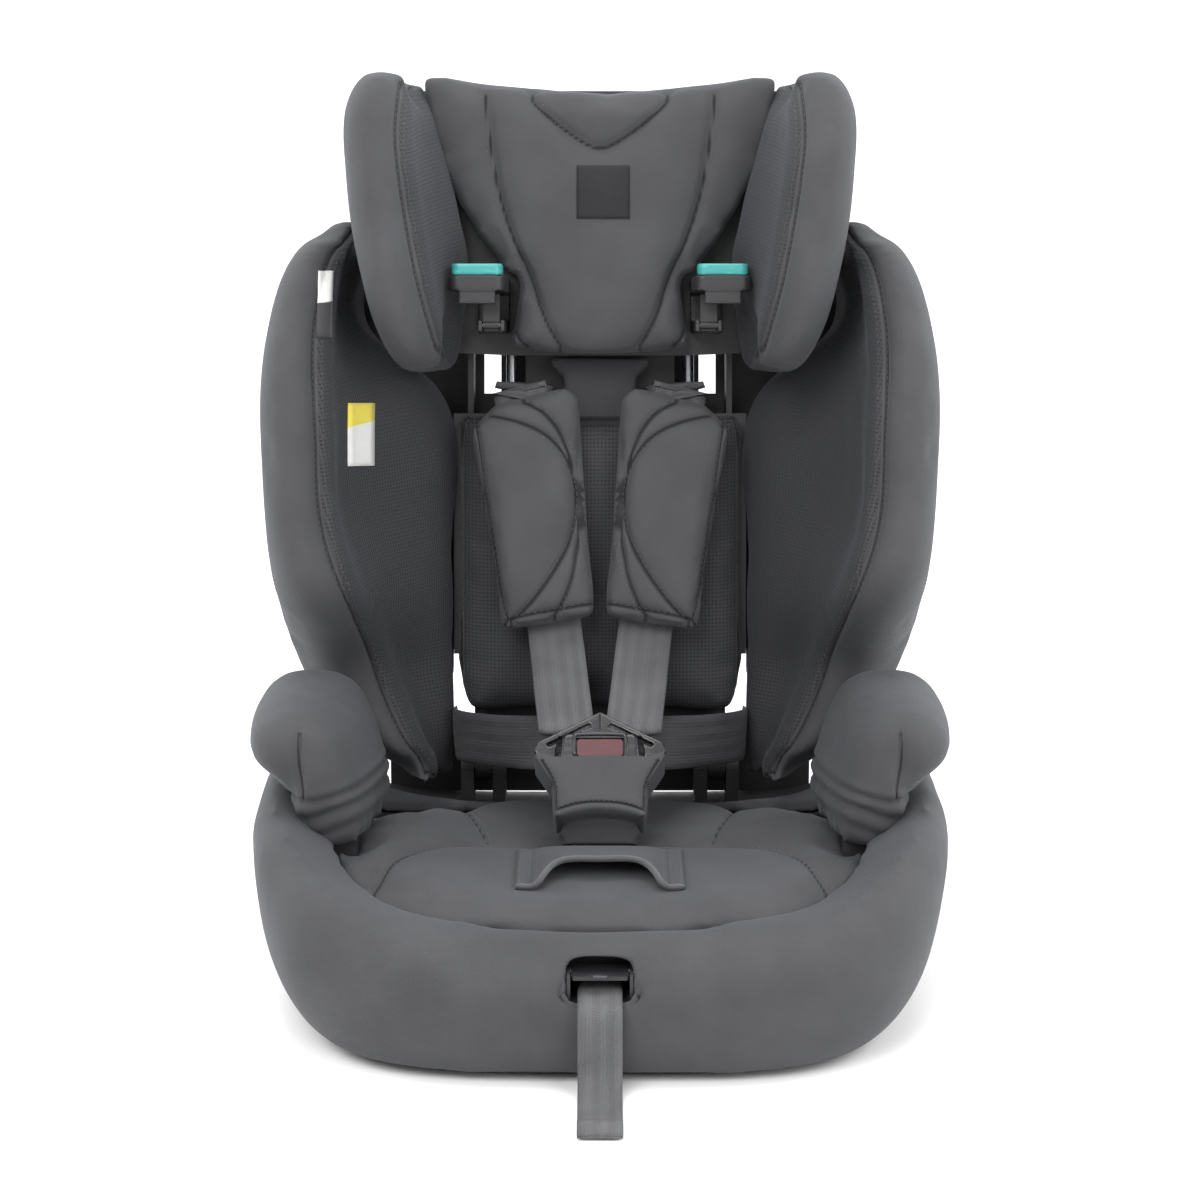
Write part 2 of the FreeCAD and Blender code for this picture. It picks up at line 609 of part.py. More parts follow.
def tray_block(inset):
    """The back shell's outer form, drawn in by inset."""
    front = TRAY_REAR - TRAY_DEPTH
    levels = [(TRAY_BOTTOM + inset, 0.72), (TRAY_BOTTOM + 34, 0.90), (TRAY_BOTTOM + 70, 0.98), (200.0, 1.0),
              (290.0, 0.99), (TRAY_TOP - 40, 0.93), (TRAY_TOP - 14, 0.83), (TRAY_TOP - inset, 0.74)]
    return Part.makeLoft([tray_wire(TRAY_HALF * share - inset, front - inset, TRAY_REAR - inset, z)
                          for z, share in levels], True, False)


def hinge_lug(side):
    """A lug of the back shell that turns on a hinge pin, with its arm up to the tray."""
    x_low = LUG_INNER if side > 0 else -LUG_INNER - LUG_WIDTH
    eye = rod((x_low + LUG_WIDTH / 2, 0, 0), X_AXIS, LUG_RADIUS - BODY_GAP, LUG_WIDTH)
    arm = box(x_low, x_low + LUG_WIDTH, -LUG_RADIUS + BODY_GAP, LUG_RADIUS - BODY_GAP, 0, TRAY_BOTTOM + 34)
    hole = rod((x_low + LUG_WIDTH / 2, 0, 0), X_AXIS, PIN_RADIUS + PIN_CLEARANCE, LUG_WIDTH + 2)
    return eye.fuse(arm).cut(hole)


def make_backrest():
    """Shell, side wings, back pad, rails, rack, rear cover and harness yoke."""
    tray = tray_block(0.0).cut(tray_block(SHELL_WALL))
    front = TRAY_REAR - TRAY_DEPTH
    panel = box(-BACK_PAD_HALF + 1, BACK_PAD_HALF - 1, PANEL_FRONT, PANEL_FRONT + PANEL_THICK,
                BACK_PAD_BOTTOM + 6, BACK_PAD_TOP - 3)
    walls = [box(s * 90 - 2, s * 90 + 2, PANEL_FRONT + 0.5, TRAY_REAR - 1, TRAY_BOTTOM + 12, 352)
             for s in (-1, 1)]
    shelves = [box(-180, 180, front + 2, TRAY_REAR - 1, z, z + 3) for z in (120.0, 352.0)]
    shelves[0] = shelves[0].cut(box(-90, 90, -100, 100, 0, 400))
    rail_feet = [box(s * RAIL_X - 9, s * RAIL_X + 9, RAIL_Y - 7, TRAY_REAR - 1, z, z + 12)
                 for s in (-1, 1) for z in (RAIL_BOTTOM, RAIL_TOP - 14)]
    wings = {side: mirrored(wing_block(), s) for side, s in SIDES.items()}
    plate = rounded_prism([V(167, -60, 134), V(167, -124, 168), V(167, -124, 256), V(167, -86, 274),
                           V(167, TRAY_REAR - 8, 300), V(167, TRAY_REAR - 8, 134)],
                          10.0, V(WING_CORE_THICK, 0, 0))
    shell = tray.fuse([panel] + walls + shelves + rail_feet + [mirrored(plate, s) for s in (-1, 1)]
                      + [hinge_lug(s) for s in (-1, 1)])
    # Harness slots, see-through slots beside the rails, the bay for the headrest bridge.
    cuts = [box(-BRIDGE_HALF - 16, BRIDGE_HALF + 16, -60, TRAY_REAR - SHELL_WALL - 0.5, 254, 420)]
    cuts += [box(s * 76 - 6, s * 76 + 6, -60, 60, 262, 338) for s in (-1, 1)]
    cuts += [rod((s * RAIL_X, RAIL_Y, (RAIL_BOTTOM + RAIL_TOP) / 2), Z_AXIS, RAIL_RADIUS,
                 RAIL_TOP - RAIL_BOTTOM) for s in (-1, 1)]
    cuts += [box(s * 97 - 7, s * 97 + 7, -60, 60, -20, TRAY_BOTTOM + 16) for s in (-1, 1)]
    rack_low, rack_high = LOCK_HEIGHT - 12, LOCK_HEIGHT + HEAD_TRAVEL + 14
    screw_heights = (rack_low + 12, rack_high - 12)
    bosses = [box(-22, 22, RACK_REAR, TRAY_REAR - 1, z - 8, z + 8) for z in screw_heights]
    screws = [rod((s * 15, RACK_REAR + 3.5, z), Y_AXIS, 2.0, 12) for s in (-1, 1) for z in screw_heights]
    shell = shell.fuse(bosses).cut(cuts + screws)
    save("rack_screws", lean(Part.makeCompound(screws)))
    wing_solids = {}
    for side in SIDES:
        head_room = head_wing()
        head_room.scale(HEAD_ROOM_SHARE, V(*HEAD_ROOM_MIDDLE))
        head_room = mirrored(head_room, SIDES[side])
        wing_solids[side] = wings[side].cut([tray_block(0.0), shell, head_room])
        wing_solids[side] = max(wing_solids[side].Solids, key=lambda solid: solid.Volume)
    shell = max(shell.Solids, key=lambda solid: solid.Volume)
    save("back_shell", lean(shell))
    for side in SIDES:
        save(f"wing_pad_{side}", lean(wing_solids[side]))

    top_half, low_half = BACK_PAD_HALF, BACK_PAD_HALF - 9
    corners = [(-low_half, BACK_PAD_BOTTOM), (low_half, BACK_PAD_BOTTOM), (top_half, BACK_PAD_BOTTOM + 40),
               (top_half, BACK_PAD_TOP), (-top_half, BACK_PAD_TOP), (-top_half, BACK_PAD_BOTTOM + 40)]
    pad = rounded_prism(upright(corners, BACK_PAD_FRONT), 12.0, V(0, BACK_PAD_THICK, 0))
    pad = soften(pad, 8.0, Y_AXIS)
    corners = [(-TAB_HALF, BACK_PAD_TOP - 12), (TAB_HALF, BACK_PAD_TOP - 12), (TAB_HALF - 3, TAB_TOP),
               (-TAB_HALF + 3, TAB_TOP)]
    tab = rounded_prism(upright(corners, TAB_FRONT), 3.0, V(0, TAB_THICK, 0))
    slot_half = SHOULDER_WEBBING / 2 + 2.5
    strap_slots = [box(s * STRAP_TAIL[0] - slot_half, s * STRAP_TAIL[0] + slot_half, -80, 20,
                       BACK_PAD_TOP + 2, TAB_TOP - 12) for s in (-1, 1)]
    save("back_pad", lean(pad.fuse(tab).cut(strap_slots)))

    for side, s in SIDES.items():
        middle = (s * RAIL_X, RAIL_Y, (RAIL_BOTTOM + RAIL_TOP) / 2)
        rail = rod(middle, Z_AXIS, RAIL_RADIUS, RAIL_TOP - RAIL_BOTTOM)
        save(f"headrest_rail_{side}", lean(rail))

    # Two notched strips in one plate: the lock bar drops into the notches from the front.
    rack_front = CARRIAGE_FRONT + CARRIAGE_THICK + 1.0
    strips = [box(s * RACK_X - RACK_THICK / 2, s * RACK_X + RACK_THICK / 2, rack_front, RACK_REAR,
                  rack_low, rack_high) for s in (-1, 1)]
    web = box(-RACK_X, RACK_X, RACK_REAR - 2.0, RACK_REAR, rack_low, rack_high)
    notches = []
    for i in range(int(HEAD_TRAVEL / HEAD_STEP) + 1):
        z = LOCK_HEIGHT + i * HEAD_STEP
        depth = LOCK_BAR_Y + LOCK_RADIUS + 0.3
        notch_half = LOCK_RADIUS + 0.4
        notches.append(box(-RACK_X - 5, RACK_X + 5, rack_front - 1, depth, z - notch_half, z + notch_half))
    rack = web.fuse(strips).cut(notches + screws)
    save("height_rack", lean(rack))

    # Harness yoke: a steel plate with three slots, behind the carriage.
    back_wall = TRAY_REAR - SHELL_WALL
    corners = [(-34, 102), (34, 102), (34, 126), (10, 140), (-10, 140), (-34, 126)]
    yoke = rounded_prism(upright(corners, back_wall), 4.0, V(0, -2.5, 0))
    slots = [box(x - w / 2, x + w / 2, 0, 30, z, z + 4)
             for x, w, z in ((-18, 26, 118), (18, 26, 118), (0, 26, 107))]
    save("harness_yoke", lean(yoke.cut(slots)))


# ================================================================ headrest
# Height, outer x, front band seam x, nose y, inner rear x of the right head wing.
HEAD_SECTIONS = [
    (276.0, 126.0, 104.0, -140.0, 100.0), (284.0, 136.0, 106.0, -162.0, 94.0),
    (304.0, 147.0, 112.0, -178.0, 92.0), (340.0, 157.0, 120.0, -186.0, 90.0),
    (380.0, 164.0, 127.0, -187.0, 95.0), (420.0, 168.0, 131.0, -185.0, 105.0),
    (448.0, 168.0, 132.0, -178.0, 112.0), (466.0, 162.0, 130.0, -166.0, 116.0),
    (476.0, 152.0, 128.0, -148.0, 120.0),
]
HEAD_REAR = HEAD_FRONT + HEAD_PAD_THICK


def head_section(height, outer, seam, nose, inner):
    """One level of a headrest wing."""
    rear = HEAD_REAR + 4.0
    band, deep = outer - seam, outer - inner
    return closed_curve([
        V(seam - 4, nose + 20, height), V(seam + 0.12 * band, nose + 5, height),
        V(seam + 0.48 * band, nose, height), V(outer - 0.18 * band, nose + 10, height),
        V(outer, nose + 38, height), V(outer - 0.04 * deep, (nose + rear) / 2 + 10, height),
        V(outer - 0.12 * deep, rear - 18, height), V(outer - 0.28 * deep, rear - 2, height),
        V((outer + inner) / 2, rear, height), V(inner + 0.15 * deep, rear - 2, height),
        V(inner, rear - 14, height), V(inner + 3, rear - 34, height),
        V((inner + seam) / 2 + 4, (nose + rear) / 2 - 6, height),
    ])


def head_wing():
    """The right headrest wing."""
    return Part.makeLoft([head_section(*row) for row in HEAD_SECTIONS], True, False)


def make_headrest():
    """Shell with its carriage, centre pad, wings, belt guides, release lever and lock bar."""
    plate_front = HEAD_REAR + 4.5
    plate_rear = plate_front + HEAD_PLATE_THICK
    plate = rounded_prism([V(-146, plate_front, 330), V(-108, plate_front, 290), V(-60, plate_front, 288),
                           V(60, plate_front, 288), V(108, plate_front, 290), V(146, plate_front, 330),
                           V(152, plate_front, 440), V(128, plate_front, 470), V(-128, plate_front, 470),
                           V(-152, plate_front, 440)], 10.0, V(0, HEAD_PLATE_THICK, 0))
    bridge = box(-BRIDGE_HALF, BRIDGE_HALF, plate_rear - 1, CARRIAGE_FRONT + CARRIAGE_THICK,
                 BRIDGE_BOTTOM, BRIDGE_TOP)
    carriage = box(-CARRIAGE_HALF, CARRIAGE_HALF, CARRIAGE_FRONT, CARRIAGE_FRONT + CARRIAGE_THICK,
                   CARRIAGE_BOTTOM, BRIDGE_TOP)
    runners = []
    for s in (-1, 1):
        for z in (CARRIAGE_BOTTOM, CARRIAGE_BOTTOM + 34):
            x0, x1 = sorted((s * (CARRIAGE_HALF - 6), s * (RAIL_X + 8)))
            runners.append(box(x0, x1, CARRIAGE_FRONT, RAIL_Y + RAIL_RADIUS + 4, z, z + 16))
    spine = rounded_prism([V(142, -112, 356), V(142, -132, 372), V(142, -132, 416), V(142, -112, 428),
                           V(142, plate_rear - 1, 436), V(142, plate_rear - 1, 336)], 5.0, V(4, 0, 0))
    # Jaws behind the carriage keep the lock bar level while it moves forwards and back.
    jaws = [box(*sorted((s * (LOCK_HALF_LENGTH - 5), s * LOCK_HALF_LENGTH)), CARRIAGE_FRONT + 1,
                LOCK_BAR_Y + 4, LOCK_HEIGHT - 9, LOCK_HEIGHT + 9) for s in (-1, 1)]
    shell = plate.fuse([bridge, carriage] + runners + jaws + [mirrored(spine, s) for s in (-1, 1)])
    bore = RAIL_RADIUS + RAIL_CLEARANCE
    holes = [rod((s * RAIL_X, RAIL_Y, (RAIL_BOTTOM + RAIL_TOP) / 2), Z_AXIS, bore, 420) for s in (-1, 1)]
    lock_window = box(-LOCK_HALF_LENGTH - 1, LOCK_HALF_LENGTH + 1, -30, 10,
                      LOCK_HEIGHT - LOCK_RADIUS - BODY_GAP, LOCK_HEIGHT + LOCK_RADIUS + BODY_GAP)
    lever_window = box(-LEVER_HALF - 1, LEVER_HALF + 1, plate_front - 1, plate_rear + 1,
                       LEVER_PIN_HEIGHT - 36, LEVER_PIN_HEIGHT + 6)
    shell = shell.cut(holes + [lock_window, lever_window])
    lever_hole = rod((0, plate_rear - 2.5, LEVER_PIN_HEIGHT), X_AXIS, 2.0, 2 * LEVER_HALF + 16)
    shell = shell.cut(lever_hole)
    shell = max(shell.Solids, key=lambda solid: solid.Volume)
    save("headrest_shell", lean(shell))

    for side, s in SIDES.items():
        wing = mirrored(head_wing(), s).cut([shell, mirrored(guide_envelope(), s)])
        save(f"head_wing_{side}", lean(max(wing.Solids, key=lambda solid: solid.Volume)))

    half = [(26, 284), (60, 288), (67, 306), (70, 342), (84, 366), (100, 420), (108, 466)]
    corners = [V(x, HEAD_FRONT, z) for x, z in half] + [V(-x, HEAD_FRONT, z) for x, z in reversed(half)]
    centre = outline_face(corners).extrude(V(0, HEAD_PAD_THICK, 0))
    wings_both = [mirrored(head_wing(), s) for s in (-1, 1)]
    centre = centre.cut(wings_both + [mirrored(guide_envelope(), s) for s in (-1, 1)])
    save("head_pad", lean(max(centre.Solids, key=lambda solid: solid.Volume)))

    # Release lever on the back of the headrest, with its pin.
    pin = rod((0, plate_rear - 2.5, LEVER_PIN_HEIGHT), X_AXIS, 2.0, 2 * LEVER_HALF + 14)
    corners = [(-LEVER_HALF, LEVER_PIN_HEIGHT - 34), (LEVER_HALF, LEVER_PIN_HEIGHT - 34),
               (LEVER_HALF, LEVER_PIN_HEIGHT), (-LEVER_HALF, LEVER_PIN_HEIGHT)]
    paddle = rounded_prism(upright(corners, plate_rear - 4), 6.0, V(0, 5, 0))
    barrel = rod((0, plate_rear - 2.5, LEVER_PIN_HEIGHT), X_AXIS, 4.5, 2 * LEVER_HALF)
    bore = rod((0, plate_rear - 2.5, LEVER_PIN_HEIGHT), X_AXIS, 2.0 + PIN_CLEARANCE, 200)
    lever = paddle.fuse(barrel).cut(bore)
    save("headrest_lever", lean(lever))
    save("headrest_lever_pin", lean(pin))
    save("lock_bar", lean(rod((0, LOCK_BAR_Y, LOCK_HEIGHT), X_AXIS, LOCK_RADIUS, 2 * LOCK_HALF_LENGTH)))
    make_belt_guides(plate_front)


def guide_envelope():
    """The room that the right belt guide takes, with clearance for the soft parts round it."""
    g = 1.5
    low, top = GUIDE_HEIGHT - GUIDE_SLOT - 12, GUIDE_HEIGHT + GUIDE_ARM_THICK
    root = box(GUIDE_INNER - g, GUIDE_ROOT_OUTER + g, -100, HEAD_REAR + 10, low, top + g)
    nose = box(GUIDE_INNER - g, GUIDE_NOSE_OUTER + g, GUIDE_NOSE - g, -90, low, top + GUIDE_INSERT_THICK + 6)
    return root.fuse(nose)


def make_belt_guides(plate_front):
    """Hooks for the car's shoulder belt: arm and lip, coloured insert, sprung gate and its pin."""
    top, low = GUIDE_HEIGHT + GUIDE_ARM_THICK, GUIDE_HEIGHT - GUIDE_SLOT
    arm = box(GUIDE_INNER, GUIDE_ROOT_OUTER, -104, plate_front, GUIDE_HEIGHT, top)
    corners = [(GUIDE_INNER + 1, GUIDE_NOSE), (GUIDE_NOSE_OUTER, GUIDE_NOSE), (GUIDE_NOSE_OUTER, -98),
               (GUIDE_INNER + 1, -98)]
    head = rounded_prism(level(corners, GUIDE_HEIGHT), 7.0, V(0, 0, GUIDE_ARM_THICK))
    lip = box(GUIDE_INNER + 8, GUIDE_NOSE_OUTER - 7, GUIDE_NOSE + 1, GUIDE_NOSE + 6,
              GUIDE_HEIGHT - 9, GUIDE_HEIGHT + 1)
    lower = box(GUIDE_INNER + 2, GUIDE_ROOT_OUTER - 2, -112, plate_front, low - 8, low)
    root = box(GUIDE_INNER, GUIDE_ROOT_OUTER, plate_front - 4, plate_front, low - 8, top)
    hook = arm.fuse([head, lip, lower, root])
    gate_y, gate_z = -107.0, low - 3.5
    gate_room = box(GUIDE_INNER + 5, GUIDE_ROOT_OUTER - 5, -113, gate_y + 8, low - 9, low + 1)
    gate_pin = rod((GUIDE_INNER + 11, gate_y, gate_z), X_AXIS, GATE_PIN_RADIUS, 17)
    hook = hook.cut([gate_room, gate_pin])
    insert_low = top + 0.2
    corners = [(GUIDE_INNER + 3, GUIDE_NOSE + 2), (GUIDE_NOSE_OUTER - 2, GUIDE_NOSE + 2),
               (GUIDE_NOSE_OUTER - 2, -101), (GUIDE_INNER + 3, -101)]
    insert = rounded_prism(level(corners, insert_low), 6.0, V(0, 0, GUIDE_INSERT_THICK - 0.2))
    x0, x1 = GUIDE_INNER + 5 + 0.4, GUIDE_ROOT_OUTER - 5 - 0.4
    gate = box(x0, x1, gate_y - 2, gate_y + 1.5, gate_z, GUIDE_HEIGHT - 2)
    gate = gate.fuse(rod(((x0 + x1) / 2, gate_y, gate_z), X_AXIS, 3.0, x1 - x0))
    gate = gate.cut(rod(((x0 + x1) / 2, gate_y, gate_z), X_AXIS, GATE_PIN_RADIUS + PIN_CLEARANCE, 60))
    for side, s in SIDES.items():
        save(f"belt_guide_{side}", lean(mirrored(hook, s)))
        save(f"belt_guide_insert_{side}", lean(mirrored(insert, s)))
        save(f"belt_gate_{side}", lean(mirrored(gate, s)))
    save("belt_gate_pins", lean(Part.makeCompound([mirrored(gate_pin, s) for s in (-1, 1)])))


# ================================================================ harness
def make_buckle():
    """Buckle housing, red button, latch, tongues, fabric cover, crotch strap and its anchor."""
    half, front, rear = BUCKLE_HALF_WIDTH, -BUCKLE_THICK / 2, BUCKLE_THICK / 2
    outer = rounded_prism([V(-half + 4, front, BUCKLE_BOTTOM), V(half - 4, front, BUCKLE_BOTTOM),
                           V(half, front, BUCKLE_BOTTOM + 22), V(half - 2, front, BUCKLE_TOP),
                           V(-half + 2, front, BUCKLE_TOP), V(-half, front, BUCKLE_BOTTOM + 22)],
                          5.0, V(0, BUCKLE_THICK, 0))
    outer = soften(outer, 3.0, Y_AXIS)
    room = box(-half + 7, half - 7, -4.2, 4.2, BUCKLE_BOTTOM + 8, BUCKLE_TOP + 1)
    window = box(-BUTTON_HALF_WIDTH - 0.5, BUTTON_HALF_WIDTH + 0.5, front - 1, -3,
                 BUCKLE_TOP - 17, BUCKLE_TOP - 4)
    strap_half = CROTCH_WEBBING / 2 + 1
    strap_slot = box(-strap_half, strap_half, -1.4, 1.4, BUCKLE_BOTTOM - 1, BUCKLE_BOTTOM + 9)
    split = box(-60, 60, -60, 0, 0, 200)
    screws = Part.makeCompound([rod((s * 19, 7.2, z), Y_AXIS, 1.6, 6.0)
                                for s in (-1, 1) for z in (BUCKLE_BOTTOM + 15, BUCKLE_TOP - 14)])
    hollow = outer.cut([room, window, strap_slot])
    save("buckle_front", tilt_buckle(hollow.common(split)))
    save("buckle_rear", tilt_buckle(hollow.cut(split).cut(screws)))
    button_rear = -BLADE_FRONT_GAP - BUTTON_TRAVEL
    button = rounded_prism([V(x, button_rear, z) for x, z in ((-BUTTON_HALF_WIDTH, BUCKLE_TOP - 16.5),
                                                              (BUTTON_HALF_WIDTH, BUCKLE_TOP - 16.5),
                                                              (BUTTON_HALF_WIDTH, BUCKLE_TOP - 4.5),
                                                              (-BUTTON_HALF_WIDTH, BUCKLE_TOP - 4.5))],
                           2.0, V(0, front + 0.8 - button_rear, 0))
    save("buckle_button", tilt_buckle(button))
    latch = box(-12, 12, 0.9, 3.9, BUCKLE_BOTTOM + 12, BUCKLE_TOP - 12)
    save("buckle_latch", tilt_buckle(latch))
    save("buckle_screws", tilt_buckle(screws))

    # Tongues: a wing with a webbing slot, and a steel blade that enters the housing.
    low = BUCKLE_TOP - 8
    wing = [V(0.3, 0, TONGUE_APEX), V(TONGUE_HALF_SPAN - 2, 0, low + 4), V(TONGUE_HALF_SPAN, 0, low - 2),
            V(TONGUE_HALF_SPAN - 5, 0, low - 8), V(half + 3, 0, low - 8), V(half + 1, 0, BUCKLE_TOP + 1),
            V(0.3, 0, BUCKLE_TOP + 1)]
    face = outline_face([p + V(0, TONGUE_REAR - TONGUE_THICK, 0) for p in wing])
    plate = face.extrude(V(0, TONGUE_THICK, 0))
    blade = box(1.5, 13.5, -1.4, 0.6, BUCKLE_TOP - TONGUE_TRAVEL + 2, BUCKLE_TOP + 4)
    tongue = plate.fuse(blade)
    slot_axis = V(TONGUE_HALF_SPAN - 8, 0, low + 2) - V(6, 0, TONGUE_APEX - 9)
    slot = box(0, slot_axis.Length, -12, 4, -1.8, 1.8)
    slot.rotate(V(0, 0, 0), Y_AXIS, math.degrees(math.atan2(-slot_axis.z, slot_axis.x)))
    slot.translate(V(6, 0, TONGUE_APEX - 9))
    tongue = tongue.cut(slot)
    for side, s in SIDES.items():
        save(f"tongue_{side}", tilt_buckle(mirrored(tongue, s)))

    # Padded cover: a sleeve round the housing's lower part, flared under the tongues.
    corners = [(-29, 20), (29, 20), (31, 44), (44, 62), (41, 66), (31, 64.5), (-31, 64.5), (-41, 66),
               (-44, 62), (-31, 44)]
    sleeve = rounded_prism(upright(corners, -17), 1.5, V(0, 32, 0))
    sleeve = sleeve.cut(outer)
    sleeve = sleeve.cut(box(-strap_half, strap_half, -1.4, 1.4, 10, 40))
    save("buckle_cover", tilt_buckle(max(sleeve.Solids, key=lambda solid: solid.Volume)))

    # The crotch strap bends from the buckle's lean to straight down through the deck.
    a = math.radians(BUCKLE_LEAN_DEG)
    up, forward = V(0, math.sin(a), math.cos(a)), V(0, -math.cos(a), math.sin(a))
    foot = V(0, BUCKLE_Y, BUCKLE_Z)
    stations = [(foot + up * 37, X_AXIS, forward), (foot + up * 2, X_AXIS, forward),
                (foot + V(0, -2, -10), X_AXIS, V(0, -1, 0)), (foot + V(0, -2, -41), X_AXIS, V(0, -1, 0))]
    save("crotch_strap", strap(stations, CROTCH_WEBBING))
    anchor_z = ISOFIX_Z + 12 - 3.0
    reach = CROTCH_RIB_X + 4
    corners = [(-reach, BUCKLE_Y - 12), (reach, BUCKLE_Y - 12), (reach, BUCKLE_Y + 9), (-reach, BUCKLE_Y + 9)]
    anchor = rounded_prism(level(corners, anchor_z), 4.0, V(0, 0, 3.0))
    save("crotch_anchor", anchor)


def make_harness():
    """Shoulder straps with their pads, and the lap straps."""
    a = math.radians(BUCKLE_LEAN_DEG)
    up, forward = V(0, math.sin(a), math.cos(a)), V(0, -math.cos(a), math.sin(a))
    foot = V(0, BUCKLE_Y, BUCKLE_Z)
    for side, s in SIDES.items():
        top = lean_point(s * STRAP_TOP[0], *STRAP_TOP[1:])
        middle = lean_point(s * STRAP_BEND[0], *STRAP_BEND[1:])
        behind_tongue = TONGUE_REAR + FIT_GAP + STRAP_SWING + WEBBING_THICK / 2
        low = foot + X_AXIS * (s * 23) + up * (BUCKLE_TOP + 1.5) - forward * behind_tongue
        run_one, run_two = top - middle, middle - low
        across = V(1, 0, 0)
        normal_one = run_one.cross(across) * -1
        normal_two = run_two.cross(across) * -1
        across_one = normal_one.cross(run_one)
        across_two = normal_two.cross(run_two)
        bend = normal_one.normalize() + normal_two.normalize()
        tail = lean_point(s * STRAP_TAIL[0], *STRAP_TAIL[1:])
        stations = [(tail, X_AXIS, V(0, 0, 1)), (top, across_one, normal_one), (middle, across_one, bend),
                    (low, across_two, normal_two)]
        save(f"shoulder_strap_{side}", strap(stations, SHOULDER_WEBBING))

        # The pad lies in the plane of the strap's upper run, just in front of it.
        along = V(run_one).normalize()
        out = V(normal_one).normalize()
        if out.y > 0:
            out = out * -1
        wide = along.cross(out).normalize()
        if wide.x < 0:
            wide = wide * -1
        base = middle + out * (WEBBING_THICK / 2 + FIT_GAP)
        length = run_one.Length
        corners = [(-30, 4), (36, 2), (38, length * 0.9), (20, length - 2), (-32, length + 3),
                   (-40, length - 6)]
        outline = [base + wide * (s * x) + along * h for x, h in corners]
        pad = rounded_prism(outline, 6.0, out * SHOULDER_PAD_THICK)
        save(f"shoulder_pad_{side}", soften(pad, 5.0, out))

        across_lap = V(0, -0.12, 1)
        path = [V(s * x, y, z) for x, y, z in LAP_ROUTE]
        stations = []
        for i, point in enumerate(path):
            ahead = path[min(i + 1, len(path) - 1)] - path[max(i - 1, 0)]
            normal = ahead.cross(across_lap).normalize()
            stations.append((point, normal.cross(ahead), normal))
        save(f"lap_strap_{side}", strap(stations, LAP_WEBBING))


